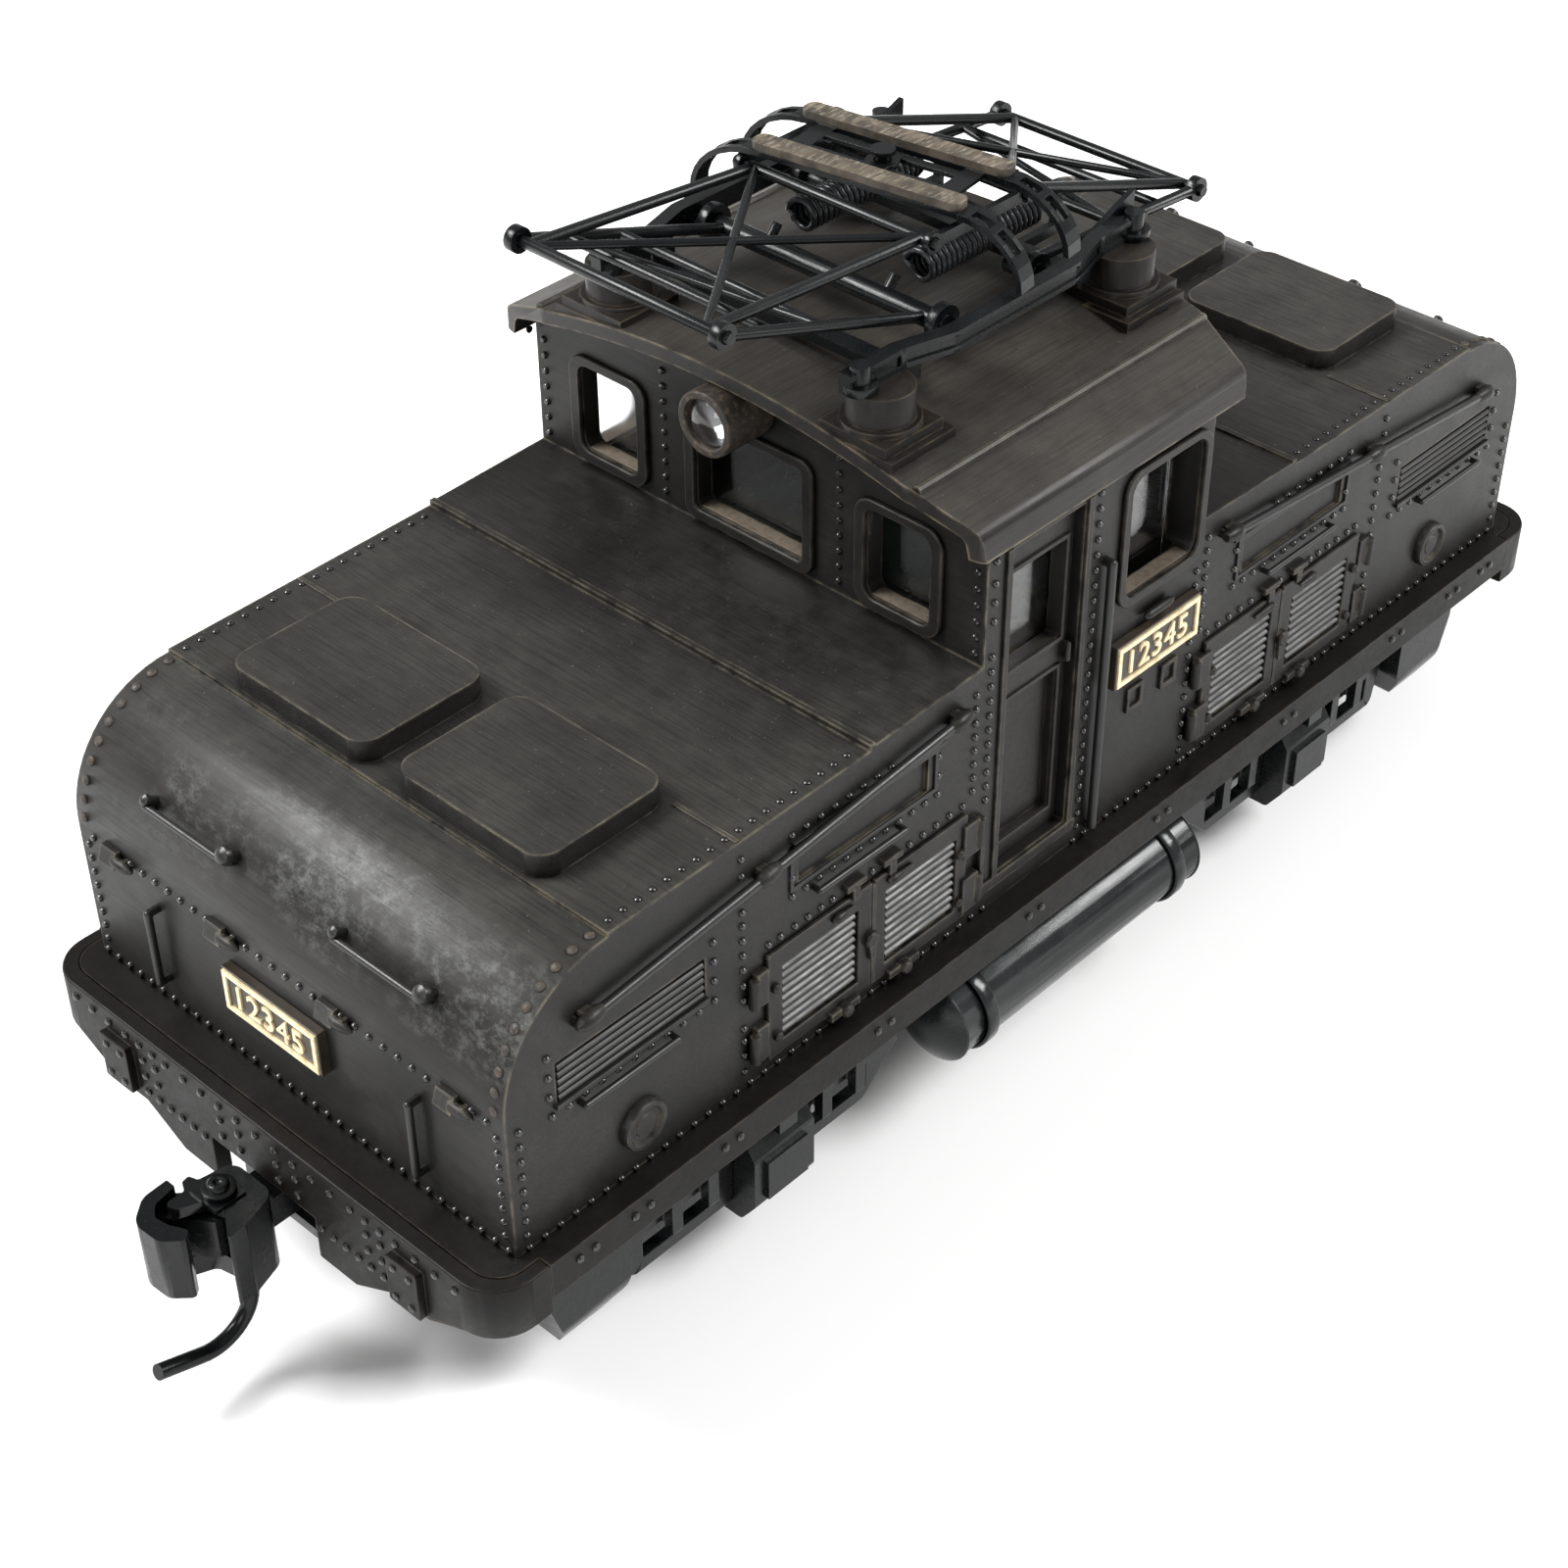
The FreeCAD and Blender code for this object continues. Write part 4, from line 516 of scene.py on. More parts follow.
door_black = weathered("door_black", (0.0110, 0.0100, 0.0090), (0.034, 0.031, 0.0265), (0.11, 0.09, 0.066),
                       0.42, wear=0.4, dusty=0.7, gloss=0.24)
underframe_black = weathered("underframe_black", (0.0045, 0.0052, 0.0056), (0.011, 0.012, 0.0125),
                             (0.045, 0.048, 0.050), 0.26, wear=0.35, dusty=0.3, gloss=0.3)
tank_black = weathered("tank_black", (0.0060, 0.0070, 0.0074), (0.022, 0.025, 0.026), (0.11, 0.12, 0.125),
                       0.20, wear=0.5, dusty=0.5, grain=BRUSHED_ALONG, gloss=0.32)
pantograph_black = weathered("pantograph_black", (0.0030, 0.0036, 0.0042), (0.0065, 0.0073, 0.0080),
                             (0.022, 0.024, 0.026), 0.26, wear=0.25, dusty=0.2, edge=0.08, gloss=0.28)
coupler_black = weathered("coupler_black", (0.0030, 0.0035, 0.0038), (0.0075, 0.0082, 0.0088),
                          (0.036, 0.039, 0.041), 0.22, wear=0.3, dusty=0.25, edge=0.1, gloss=0.24)
insulator_brown = weathered("insulator_brown", (0.0075, 0.0066, 0.0058), (0.022, 0.0175, 0.0135),
                            (0.13, 0.094, 0.060), 0.42, wear=0.6, dusty=0.5, edge=0.2, gloss=0.25)
wire_black = weathered("wire_black", (0.0085, 0.0080, 0.0078), (0.022, 0.020, 0.018), (0.10, 0.085, 0.065),
                       0.34, wear=0.4, dusty=0.3, edge=0.08)
louvre_dull = weathered("louvre_dull", (0.010, 0.0098, 0.0093), (0.038, 0.037, 0.035), (0.12, 0.118, 0.11),
                        0.36, wear=0.4, dusty=0.7, grain=(0.3, 1, 3), edge=0.12, gloss=0.25)
ledge_tan = weathered("ledge_tan", (0.060, 0.047, 0.034), (0.135, 0.108, 0.078), (0.22, 0.18, 0.13),
                      0.62, wear=0.4, dusty=0.8)
louvre_silver = rubbed_silver("louvre_silver")
rim_rust = rusty("rim_rust")
strip_brown = contact_strip("strip_brown")
plate_field = number_plate_field("plate_field")
gold_lines = plate_gold("gold_lines")
lens_clear = clear("lens_clear", (0.93, 0.95, 0.97), 0.02)
glazing = clear("glazing", (0.95, 0.96, 0.97))
lamp_white = moulded("lamp_white", (0.78, 0.77, 0.71), 0.3)
chassis_metal = worn_metal("chassis_metal", (0.05, 0.05, 0.052), (0.025, 0.024, 0.022), 0.5, 0.6)
keeper_plastic = moulded("keeper_plastic", (0.03, 0.03, 0.03), 0.45)
screw_steel = worn_metal("screw_steel", (0.30, 0.30, 0.31), (0.10, 0.09, 0.08), 0.34)
bush_bronze = worn_metal("bush_bronze", (0.55, 0.37, 0.20), (0.20, 0.13, 0.08), 0.42)
motor_steel = worn_metal("motor_steel", (0.52, 0.52, 0.53), (0.25, 0.24, 0.22), 0.3, grain=BRUSHED_ALONG)
bell_plastic = moulded("bell_plastic", (0.62, 0.60, 0.55), 0.42)
shaft_steel = worn_metal("shaft_steel", (0.58, 0.58, 0.60), (0.20, 0.19, 0.18), 0.22)
flywheel_brass = worn_metal("flywheel_brass", (0.70, 0.54, 0.26), (0.30, 0.21, 0.10), 0.26)
worm_brass = worn_metal("worm_brass", (0.66, 0.51, 0.25), (0.26, 0.18, 0.09), 0.3)
gear_plastic = moulded("gear_plastic", (0.72, 0.70, 0.62), 0.4)
wheel_metal = worn_metal("wheel_metal", (0.16, 0.155, 0.15), (0.05, 0.04, 0.035), 0.38)
pickup_bronze = worn_metal("pickup_bronze", (0.58, 0.40, 0.22), (0.22, 0.15, 0.09), 0.34)
ballast_metal = worn_metal("ballast_metal", (0.020, 0.020, 0.021), (0.010, 0.010, 0.010), 0.6, 0.2)
board_green = circuit("board_green")
coupler_plastic = moulded("coupler_plastic", (0.022, 0.023, 0.024), 0.36)
spring_steel = worn_metal("spring_steel", (0.050, 0.052, 0.056), (0.020, 0.020, 0.020), 0.3, 0.7)

FINISHES = {
    "body_black": (body_black, 0.10), "roof_black": (roof_black, 0.12),
    "footplate_black": (footplate_black, 0.15), "underframe_black": (underframe_black, 0.12),
    "wire_black": (wire_black, 0), "plate_brass": (plate_field, 0.05), "lens_clear": (lens_clear, 0),
    "glazing": (glazing, 0.03), "lamp_white": (lamp_white, 0.05), "rim_rust": (rim_rust, 0.12),
    "chassis_metal": (chassis_metal, 0.15), "keeper_plastic": (keeper_plastic, 0.1),
    "screw_steel": (screw_steel, 0.05), "bush_bronze": (bush_bronze, 0.05),
    "motor_steel": (motor_steel, 0.1), "bell_plastic": (bell_plastic, 0.1),
    "shaft_steel": (shaft_steel, 0.05), "flywheel_brass": (flywheel_brass, 0.1),
    "worm_brass": (worm_brass, 0), "gear_plastic": (gear_plastic, 0.03),
    "wheel_metal": (wheel_metal, 0.06), "pickup_bronze": (pickup_bronze, 0.03),
    "ballast_metal": (ballast_metal, 0.2), "board_green": (board_green, 0.03),
    "coupler_metal": (coupler_black, 0.10), "coupler_plastic": (coupler_plastic, 0.1),
    "pin_steel": (coupler_black, 0.03), "insulator_brown": (insulator_brown, 0.12),
    "pantograph_metal": (pantograph_black, 0.06), "spring_steel": (spring_steel, 0.03),
    "strip_copper": (strip_brown, 0.08),
}
OWN_FINISH = {"air_tanks": tank_black, "tank_straps": tank_black, "cab_doors": door_black}


def finish_cad_nodes():
    """Give each CAD node its procedural material and softened edges."""
    for part in frame["record"]["subparts"]:
        node = frame["nodes"][part["node"]]
        material, edge = FINISHES[part["material_slot"]]
        node.data.materials.clear()
        node.data.materials.append(OWN_FINISH.get(part["node"], material))
        if edge:
            soften(node, edge)


# ---------------------------------------------------------------- rivets

def column(u, heights):
    """Places one above another."""
    return [(u, v) for v in heights]


def row(v, places):
    """Places side by side."""
    return [(u, v) for u in places]


def hood_side_rivets():
    """Where rivets stand on each hood side, as (u, v)."""
    return (row(0.15, spread(-43.9, -9.9, 33)) + column(-44.0, spread(1.1, 8.3, 8))
            + column(-41.9, (9.1, 10.4, 11.7)) + column(-30.5, (9.1, 10.4, 11.7))
            + row(7.75, spread(-41.8, -30.5, 11))
            + column(-28.4, (1.2, 2.4, 3.4, 4.3, 6.3, 7.3, 8.4, 9.4, 10.4, 11.4, 12.3, 14.7, 15.8))
            + row(15.1, spread(-24.7, -17.1, 8)) + row(11.05, spread(-24.7, -13.3, 12))
            + column(-13.3, (12.3, 13.6)) + column(-24.7, (12.3,))
            + row(8.9, (-26.5, -25.6, -24.5, -23.5, -22.5, -21.6, -18.5, -15.5, -14.4, -13.3, -12.2, -11.1))
            + column(-10.3, spread(9.5, 16.0, 8)))


def cab_side_rivets():
    """Where rivets stand on each cab side, as (u, v)."""
    return (row(0.15, [u for u in spread(-8.9, 10.6, 20) if abs(u + 4.75) > 3.3])
            + row(25.0, spread(-8.9, 10.3, 21))
            + column(-9.15, (24.0, 22.6, 21.4, 20.2) + tuple(spread(17.9, 8.2, 11)))
            + column(-0.45, spread(1.1, 24.1, 24)) + column(9.4, spread(1.1, 14.1, 14)))


def nose_rivets():
    """Where rivets stand on each nose, as (u, v)."""
    return (row(0.25, spread(-16.5, 16.5, 34)) + column(-16.3, spread(1.2, 8.0, 8))
            + column(16.3, spread(1.2, 8.0, 8)) + row(8.75, spread(-15.7, 15.7, 30)))


def cab_end_rivets():
    """Where rivets stand on each cab end, as (u, v)."""
    high, low = spread(18.3, 26.2, 9), spread(18.2, 24.4, 7)
    return [place for side in (-1, 1) for place in column(6.65 * side, high) + column(16.35 * side, low)]


def beam_rivets():
    """Where rivets stand on each buffer beam, as (u, v)."""
    top = row(-0.85, (0.0, 1.6, 3.1, 4.6, 6.1, 7.7, 8.85, 10.0, 11.2, 12.7, 14.2, 15.7))
    inner = [(u, v) for u in (1.6, 3.15, 8.8, 9.9) for v in (-1.9, -3.1)]
    bottom = row(-4.3, (4.9, 5.9, 6.9, 7.9, 8.9, 9.9))
    right = top + inner + bottom
    return right + [(-u, v) for u, v in right if u]


def skirt_rivets():
    """Pairs of rivets in groups along the footplate's side channel."""
    return [(u + step, -1.0) for u in (-41.5, -37.6, -31.0, -19.0, -6.0, 6.0, 19.0, 31.0, 37.6, 41.5)
            for step in (-0.55, 0.55)]


def hood_roof_height(distance):
    """Height of the hood's roof above the deck at a distance from the middle."""
    return ROOF_RISE + (ROOF_START - distance) * ROOF_SLOPE


def make_flat_rivets():
    """Rivets on the hood sides, cab sides, noses and cab ends."""
    mesh = bmesh.new()
    groups = ((HOOD_SIDES, hood_side_rivets()), (CAB_SIDES, cab_side_rivets()),
              (NOSES, nose_rivets()), (CAB_ENDS, cab_end_rivets()))
    for faces, places in groups:
        for face in faces:
            for u, v in places:
                rivet(mesh, face.at(u, v), face.out)
    publish(mesh, "body_rivets", "locomotive", rivet_black)


def make_beam_rivets():
    """Rivets on the buffer beams, their pads and the footplate's sides."""
    mesh = bmesh.new()
    for faces, places in ((BEAMS, beam_rivets()), (SKIRTS, skirt_rivets())):
        for face in faces:
            for u, v in places:
                rivet(mesh, face.at(u, v), face.out, 0.26, 0.2)
    for face in BEAMS:
        for side in (-1, 1):
            for u in (11.4, 12.6):
                for v in (-2.1, -4.2):
                    rivet(mesh, face.at(side * u, v, 0.5), face.out, 0.24, 0.15)
    publish(mesh, "beam_rivets", "locomotive", rivet_black)


def make_roof_edge_rivets():
    """Rivets along the hood roofs' edges."""
    mesh = bmesh.new()
    for sx in (-1, 1):
        for sy in (-1, 1):
            for distance in spread(19.8, 36.8, 18):
                centre = Vector((sx * distance, sy * ROOF_RIVET_Y, DECK + hood_roof_height(distance)))
                rivet(mesh, centre, Z, 0.2, 0.14)
    publish(mesh, "roof_edge_rivets", "locomotive", rivet_black)


def make_nose_curve_rivets():
    """Larger rusty rivets along the curved shoulders of the noses."""
    mesh = bmesh.new()
    for sx in (-1, 1):
        for sy in (-1, 1):
            for angle in spread(math.radians(4), math.radians(86), 10):
                out = Vector((sx * math.cos(angle), 0, math.sin(angle)))
                centre = Vector((sx * (NOSE - NOSE_RADIUS), sy * ROOF_RIVET_Y,
                                 DECK + NOSE_RISE - NOSE_RADIUS))
                rivet(mesh, centre + out * NOSE_RADIUS, out, 0.3, 0.16)
    publish(mesh, "nose_curve_rivets", "locomotive", rim_rust)


# ---------------------------------------------------------------- hood sides

LOUVRE_SLATS = (6.8, 6.26, 5.72, 5.18, 4.62, 4.06, 3.5, 2.95, 2.4)
NOSE_SLATS = (10.6, 10.1, 9.6, 9.1, 8.6)


def slat(mesh, face, u, v, out, drop=0.24):
    """A louvre slat: rounded over its top, with an undercut lower edge."""
    profile = [(v + 0.17, -0.3), (v + 0.15, -0.05), (v + 0.06, out * 0.7), (v - drop * 0.25, out),
               (v - drop * 0.6, out * 0.8), (v - drop * 0.7, out * 0.1), (v - drop * 0.7, -0.3)]
    rings = [[mesh.verts.new(face.at(x, y, depth)) for y, depth in profile] for x in u]
    loop_faces(mesh, rings)
    mesh.faces.new(rings[0][::-1])
    mesh.faces.new(rings[1])


def make_louvres():
    """Slats of the louvred doors."""
    mesh = bmesh.new()
    for face in HOOD_SIDES:
        for v in LOUVRE_SLATS:
            slat(mesh, face, (-25.65, -20.0), v, 0.26)
            slat(mesh, face, (-17.5, -11.9), v, 0.26)
    publish(mesh, "louvre_slats", "locomotive", louvre_silver, angle=60)


def make_nose_louvres():
    """Flat slats, sills and the narrow panel's border on each hood side."""
    mesh = bmesh.new()
    for face in HOOD_SIDES:
        for v in NOSE_SLATS:
            slat(mesh, face, (-41.3, -31.2), v, 0.06, 0.2)
        block(mesh, face, (-41.6, -31.0), (8.1, 8.4), (-0.1, 0.25))
        border(mesh, face, (-24.9, -13.4), (11.4, 14.3), 0.25, (-0.1, 0.14))
        block(mesh, face, (-24.7, -12.9), (14.35, 14.6), (-0.1, 0.22))
    publish(mesh, "nose_louvres", "locomotive", louvre_dull, 0.04)


def make_door_fittings():
    """Hinges, latch, lugs and handles of the louvred doors."""
    mesh = bmesh.new()
    barrel = [(0.3, 0), (0.34, 0.1), (0.34, 1.8), (0.3, 1.9)]
    stud = [(0.3, 0), (0.3, 0.25), (0.2, 0.36), (0.04, 0.4)]
    foot = [(0.42, 0), (0.42, 0.5), (0.3, 0.62), (0.05, 0.66)]
    for face in HOOD_SIDES:
        for v in ((5.4, 7.7), (1.5, 3.9)):
            block(mesh, face, (-27.75, -26.85), v, (-0.1, 0.42))
            block(mesh, face, (-11.3, -10.0), v, (-0.1, 0.5))
            for u in (-27.9, -9.95):
                turned(mesh, face.at(u, v[0] + 0.2, 0.35), face.up, barrel, 12)
        for u, v in ((-26.35, 6.0), (-26.2, 2.5), (-11.6, 6.0), (-11.6, 2.5)):
            turned(mesh, face.at(u, v, 0.25), face.out, stud, 12)
        turned(mesh, face.at(-18.9, 4.6, 0.25), face.out,
               [(0.52, 0), (0.52, 0.3), (0.4, 0.42), (0.1, 0.46)], 16)
        slab(mesh, face, [(-19.15, 4.6), (-19.0, 3.1), (-18.6, 3.1), (-18.5, 4.6)], (0.25, 0.55))
        block(mesh, face, (-18.75, -18.45), (1.1, 8.2), (-0.1, 0.34))
        for u in (-20.1, -17.2):
            block(mesh, face, (u - 0.75, u + 0.75), (8.95, 9.35), (-0.1, 0.45))
            block(mesh, face, (u - 0.28, u + 0.28), (8.15, 9.1), (-0.1, 0.45))
        for start, end in ((-22.0, -20.3), (-17.6, -15.6)):
            turned(mesh, face.at(start + 0.25, 7.8, 0.42), face.along,
                   [(0.1, -0.25), (0.26, 0), (0.3, 0.25), (0.2, 0.8), (0.12, end - start - 0.25)], 12)
        for start, end in ((-22.2, -19.9), (-17.5, -15.0)):
            block(mesh, face, (start, end), (0.75, 1.25), (-0.1, 0.62))
            turned(mesh, face.at((start + end) / 2, 1.0, 0.3), face.out, foot, 14)
    publish(mesh, "door_fittings", "locomotive", body_black, 0.06)


def make_emblem_discs():
    """Plain ring discs low on the hood sides."""
    mesh = bmesh.new()
    profile = [(1.5, -0.1), (1.5, 0.34), (1.42, 0.46), (1.2, 0.5), (1.08, 0.42), (1.04, 0.3),
               (0.7, 0.28), (0.62, 0.36), (0.45, 0.38), (0.06, 0.38)]
    for face in HOOD_SIDES:
        turned(mesh, face.at(-35.95, 3.05), face.out, profile, 40)
    publish(mesh, "ring_discs", "locomotive", body_black)


def make_rail_brackets():
    """Tapered brackets that hold the sloping rail to each hood side."""
    mesh = bmesh.new()
    for face in HOOD_SIDES:
        for u in (-39.4, -27.0, -12.2):
            rise = RAIL_LOW + (u - RAIL_START) * (RAIL_HIGH - RAIL_LOW) / RAIL_RUN
            turned(mesh, face.at(u - 0.9, rise - 0.09, 0.5), face.along + face.up * RAIL_TILT,
                   [(0.15, 0), (0.42, 0.35), (0.5, 0.9), (0.42, 1.45), (0.3, 1.8)], 12)
            block(mesh, face, (u - 0.35, u + 0.35), (rise - 0.4, rise + 0.4), (-0.1, 0.4))
    publish(mesh, "rail_brackets", "locomotive", body_black, 0.05)


# ---------------------------------------------------------------- cab

def make_cab_side_details():
    """Square outlined brackets, corner strips and the sill line on the cab sides."""
    mesh = bmesh.new()
    for face in CAB_SIDES:
        for u in (3.4, 6.6):
            border(mesh, face, (u, u + 1.5), (7.2, 8.9), 0.28, (-0.1, 0.2))
        block(mesh, face, (-9.75, -9.4), (1.5, 7.4), (-0.1, 0.4))
        block(mesh, face, (-8.35, -7.9), (1.4, 24.3), (-0.1, 0.18))
        block(mesh, face, (-1.6, -1.15), (1.4, 24.3), (-0.1, 0.18))
        block(mesh, face, (-9.3, -0.9), (1.35, 2.1), (-0.1, 0.2))
        turned(mesh, face.at(4.4, 13.75, 0.35), face.along,
               [(0.1, -0.3), (0.25, 0), (0.28, 0.2), (0.28, 1.9), (0.25, 2.1), (0.1, 2.4)], 12)
    publish(mesh, "cab_side_details", "locomotive", body_black, 0.05)


def make_door_mouldings():
    """Raised beads round the sunk panel and the window of each cab door."""
    mesh = bmesh.new()
    for face in CAB_SIDES:
        inner = Face(face.at(0, 0, -0.7), face.along, face.up, face.out)
        border(mesh, inner, (-7.2, -2.3), (3.3, 13.6), 0.22, (-0.1, 0.16))
        border(mesh, inner, (-7.3, -2.2), (15.15, 22.15), 0.25, (-0.1, 0.18))
    publish(mesh, "door_mouldings", "locomotive", door_black, 0.04)


def make_nose_details():
    """Sloped lugs with tapered pegs along the joint below each nose's curve."""
    mesh = bmesh.new()
    for face in NOSES:
        for u in (14.0, 5.0, -4.0, -13.0):
            wedge(mesh, face, (u - 0.7, u + 0.7), (8.1, 9.1), 0.62, 0.3)
            turned(mesh, face.at(u - 0.6, 8.55, 0.3), -face.along,
                   [(0.3, -0.2), (0.36, 0.1), (0.34, 0.7), (0.2, 1.25), (0.06, 1.45)], 12)
            block(mesh, face, (u - 1.45, u - 1.15), (8.2, 8.95), (-0.1, 0.4))
    publish(mesh, "nose_lugs", "locomotive", body_black, 0.06)


def make_nose_rail_eyes():
    """A round eye on one end of each nose rail and a small foot on the other."""
    mesh = bmesh.new()
    angle = math.asin((NOSE_RAIL_RISE - NOSE_RISE + NOSE_RADIUS) / NOSE_RADIUS)
    for s in (1, -1):
        out = Vector((-s * math.cos(angle), 0, math.sin(angle)))
        foot = Vector((-s * (NOSE - NOSE_RADIUS), 0, DECK + NOSE_RISE - NOSE_RADIUS)) + out * NOSE_RADIUS
        for large, small in ((4.2, 10.8), (-11.0, -4.4)):
            turned(mesh, foot + Y * s * large, out,
                   [(0.34, -0.15), (0.34, 0.25), (0.5, 0.45), (0.56, 0.72), (0.46, 1.0), (0.2, 1.14)], 18)
            turned(mesh, foot + Y * s * small, out,
                   [(0.26, -0.15), (0.26, 0.4), (0.34, 0.62), (0.32, 0.86), (0.14, 0.98)], 14)
    publish(mesh, "nose_rail_eyes", "locomotive", wire_black)


def make_hood_seams():
    """The raised joint across each hood roof, beside the hatches."""
    mesh = bmesh.new()
    for s in (1, -1):
        for side in (1, -1):
            top = Face(Vector((s * 28.5, side * 14.8, DECK + hood_roof_height(28.5))), Y * side, X * s, Z)
            block(mesh, top, (-2.3, 2.1), (-0.16, 0.16), (-0.2, 0.07))
    publish(mesh, "hood_seams", "locomotive", body_black, 0.03)


def make_window_ledges():
    """Dusty tan ledges in the foot of each cab window."""
    mesh = bmesh.new()
    for face in CAB_ENDS:
        for low, high in ((8.9, 13.1), (-3.9, 3.9), (-13.1, -8.9)):
            block(mesh, face, (low, high), (18.3, 18.52), (-1.0, -0.1))
    for face in CAB_SIDES:
        block(mesh, face, (2.4, 8.65), (15.6, 15.85), (-1.0, -0.1))
    publish(mesh, "window_ledges", "locomotive", ledge_tan, 0.03)


def make_roof_beads():
    """A bead along each side of the roof, between its crown and its rolled side."""
    mesh = bmesh.new()
    for side in (-1, 1):
        line = [Vector((x, side * 13.95, DECK + 28.33)) for x in spread(-12.1, 12.1, 9)]
        wire(mesh, line, 0.27, 10)
    publish(mesh, "roof_beads", "locomotive", roof_black)


# ---------------------------------------------------------------- number plates

def digits(mesh, face, text, centre, height, depth):
    """Raised digits cut from the plain built-in typeface."""
    curve = bpy.data.curves.new("digits", "FONT")
    curve.body = text
    curve.align_x, curve.align_y = "CENTER", "CENTER"
    curve.space_character = 1.12
    curve.offset = 0.012
    curve.resolution_u = 4
    holder = bpy.data.objects.new("digits", curve)
    bpy.context.scene.collection.objects.link(holder)
    flat = bpy.data.meshes.new_from_object(holder)
    bpy.data.objects.remove(holder)
    low = min(v.co.y for v in flat.vertices)
    high = max(v.co.y for v in flat.vertices)
    middle_x = (min(v.co.x for v in flat.vertices) + max(v.co.x for v in flat.vertices)) / 2
    scale = height / (high - low)
    letters = bmesh.new()
    letters.from_mesh(flat)
    raised = bmesh.ops.extrude_face_region(letters, geom=letters.faces[:])
    for corner in letters.verts:
        corner.co.z = 0
    for item in raised["geom"]:
        if isinstance(item, bmesh.types.BMVert):
            item.co.z = 1
    turn = Matrix((face.up.cross(face.out), face.up, face.out)).transposed()
    base = face.at(*centre)
    for corner in letters.verts:
        local = Vector(((corner.co.x - middle_x) * scale, (corner.co.y - (low + high) / 2) * scale,
                        corner.co.z * depth))
        corner.co = base + turn @ local
    copy = bpy.data.meshes.new("digits")
    letters.to_mesh(copy)
    letters.free()
    mesh.from_mesh(copy)
    bpy.data.meshes.remove(copy)


def make_plate_lines():
    """Raised border and digits on the four number plates."""
    mesh = bmesh.new()
    plates = [(face, (-3.4, 4.4), (3.9, 6.85)) for face in NOSES]
    plates += [(face, (1.4, 9.2), (10.1, 13.05)) for face in CAB_SIDES]
    for face, u, v in plates:
        border(mesh, face, (u[0] + 0.14, u[1] - 0.14), (v[0] + 0.14, v[1] - 0.14), 0.3, (0.5, 0.72))
        digits(mesh, face, "12345", (sum(u) / 2, sum(v) / 2, 0.5), 1.55, 0.22)
    publish(mesh, "plate_lines", "locomotive", gold_lines)


# ---------------------------------------------------------------- couplers

def make_pivot_bosses():
    """The riveted top of the knuckle's pivot, with a dimple, on each coupler head."""
    profile = [(0.95, -0.2), (0.95, 0.06), (0.78, 0.12), (0.62, 0.12), (0.6, 0.34), (0.5, 0.42),
               (0.28, 0.42), (0.2, 0.3), (0.05, 0.28)]
    for s, end in ((1, "near"), (-1, "far")):
        mesh = bmesh.new()
        top = cad(end + "_coupler_head")[1].z
        turned(mesh, Vector((-KNUCKLE_PIVOT[0] * s, KNUCKLE_PIVOT[1] * s, top)), Z, profile)
        publish(mesh, end + "_pivot_boss", end + "_coupler", coupler_black, angle=50)


# ---------------------------------------------------------------- pantograph

def make_lift_springs():
    """Two wound tension springs with hooked ends in place of their plain CAD stand-ins."""
    low, high = cad("pantograph_springs")
    radius, wire_radius, turns, steps = 0.88, 0.2, 22, 14
    spring_y, spring_rise = 4.3, 33.2
    start, end = -1.1, 8.3
    mesh = bmesh.new()
    for side in (-1, 1):
        centre_y, rise = side * spring_y, DECK + spring_rise
        coil = []
        for step in range(turns * steps + 1):
            angle = 2 * math.pi * step / steps
            coil.append(Vector((start + (end - start) * step / (turns * steps),
                                centre_y + radius * math.cos(angle), rise + radius * math.sin(angle))))
        near_hook = [Vector((low.x + 0.15, centre_y, rise)), Vector((start - 0.35, centre_y, rise)),
                     Vector((start - 0.15, centre_y + radius * 0.5, rise))]
        far_hook = [Vector((end + 0.15, centre_y + radius * 0.5, rise)),
                    Vector((end + 0.35, centre_y, rise)), Vector((high.x - 0.15, centre_y, rise))]
        wire(mesh, near_hook + coil + far_hook, wire_radius, 7)
    springs = publish(mesh, "lift_springs", "locomotive", spring_steel, angle=80)
    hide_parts("pantograph_springs")


# ---------------------------------------------------------------- floor, light and camera

def make_floor():
    """A pale matte floor."""
    look = Look("studio_floor")
    tone = look.between(look.noise(0.01, 3), 0.3, 0.7)
    look.colour(look.mix(tone, (0.88, 0.88, 0.88), (0.91, 0.91, 0.905)))
    look.set(Roughness=0.85)
    mesh = bmesh.new()
    bmesh.ops.create_grid(mesh, x_segments=1, y_segments=1, size=3.0)
    data = bpy.data.meshes.new("studio_floor")
    mesh.to_mesh(data)
    mesh.free()
    data.materials.append(look.material)
    floor = bpy.data.objects.new("studio_floor", data)
    bpy.context.scene.collection.objects.link(floor)


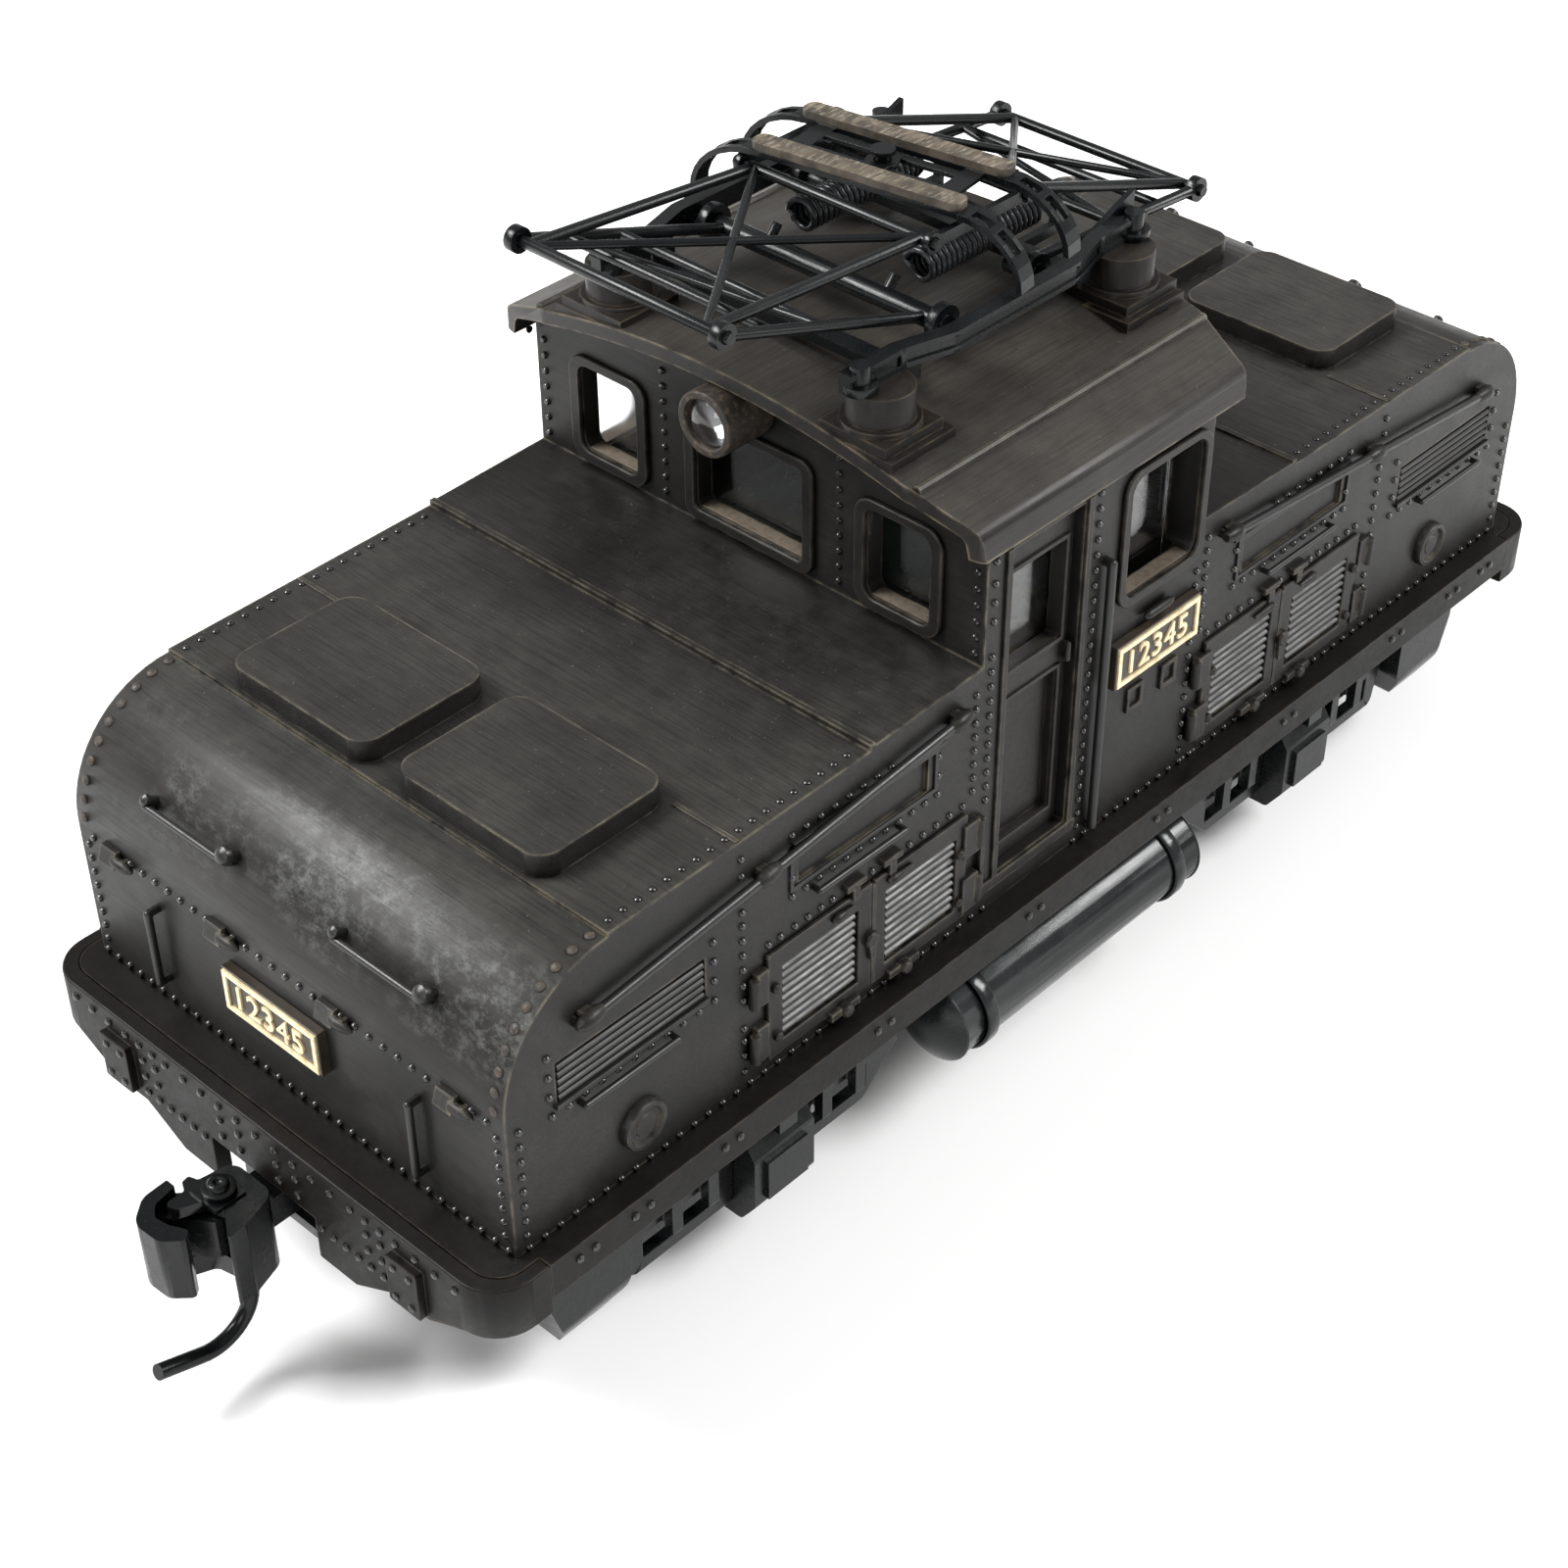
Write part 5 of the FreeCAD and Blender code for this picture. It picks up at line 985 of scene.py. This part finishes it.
def area_light(name, place, target, size, power):
    """A rectangular lamp aimed at a point, in metres and watts."""
    lamp = bpy.data.lights.new(name, "AREA")
    lamp.shape = "RECTANGLE"
    lamp.size, lamp.size_y = size
    lamp.energy = power
    holder = bpy.data.objects.new(name, lamp)
    holder.location = place
    holder.rotation_mode = "QUATERNION"
    holder.rotation_quaternion = (Vector(target) - Vector(place)).to_track_quat("-Z", "Y")
    bpy.context.scene.collection.objects.link(holder)


def make_light():
    """A pale world and three lamps."""
    world = bpy.data.worlds.new("studio")
    world.use_nodes = True
    world.node_tree.nodes["Background"].inputs["Color"].default_value = (1, 1, 1, 1)
    world.node_tree.nodes["Background"].inputs["Strength"].default_value = 0.42
    bpy.context.scene.world = world
    area_light("crown", (-0.34, 0.40, 0.56), (0, 0, 0.03), (0.30, 0.30), 9)
    area_light("side", (0.42, -0.50, 0.62), (0, 0, 0.03), (0.40, 0.30), 9)
    area_light("front", (-0.75, -0.25, 0.40), (0, 0, 0.03), (0.40, 0.30), 1.5)


def make_camera():
    """The photograph's viewpoint: a long lens from the near left, well above the roof."""
    azimuth, elevation, roll = math.radians(-46.72), math.radians(38.60), math.radians(-0.29)
    place = Vector((-105.37, -92.46, 121.80)) * MM
    back = Vector((math.sin(azimuth) * math.cos(elevation), -math.cos(azimuth) * math.cos(elevation),
                   math.sin(elevation)))
    level = Vector((math.cos(azimuth), math.sin(azimuth), 0))
    upright = back.cross(level)
    right = level * math.cos(roll) + upright * math.sin(roll)
    up = back.cross(right)
    camera = bpy.data.cameras.new("camera")
    camera.sensor_width = 36
    camera.lens = 65.33
    camera.clip_start, camera.clip_end = 0.01, 10
    holder = bpy.data.objects.new("camera", camera)
    turn = Matrix((right, up, back)).transposed().to_4x4()
    holder.matrix_world = Matrix.Translation(place) @ turn
    bpy.context.scene.collection.objects.link(holder)
    bpy.context.scene.camera = holder
    bpy.context.scene.view_settings.view_transform = "Standard"


finish_cad_nodes()
make_flat_rivets()
make_beam_rivets()
make_roof_edge_rivets()
make_nose_curve_rivets()
make_louvres()
make_nose_louvres()
make_door_fittings()
make_emblem_discs()
make_rail_brackets()
make_cab_side_details()
make_door_mouldings()
make_nose_details()
make_nose_rail_eyes()
make_hood_seams()
make_window_ledges()
make_roof_beads()
make_plate_lines()
make_pivot_bosses()
make_lift_springs()
make_floor()
make_light()
make_camera()
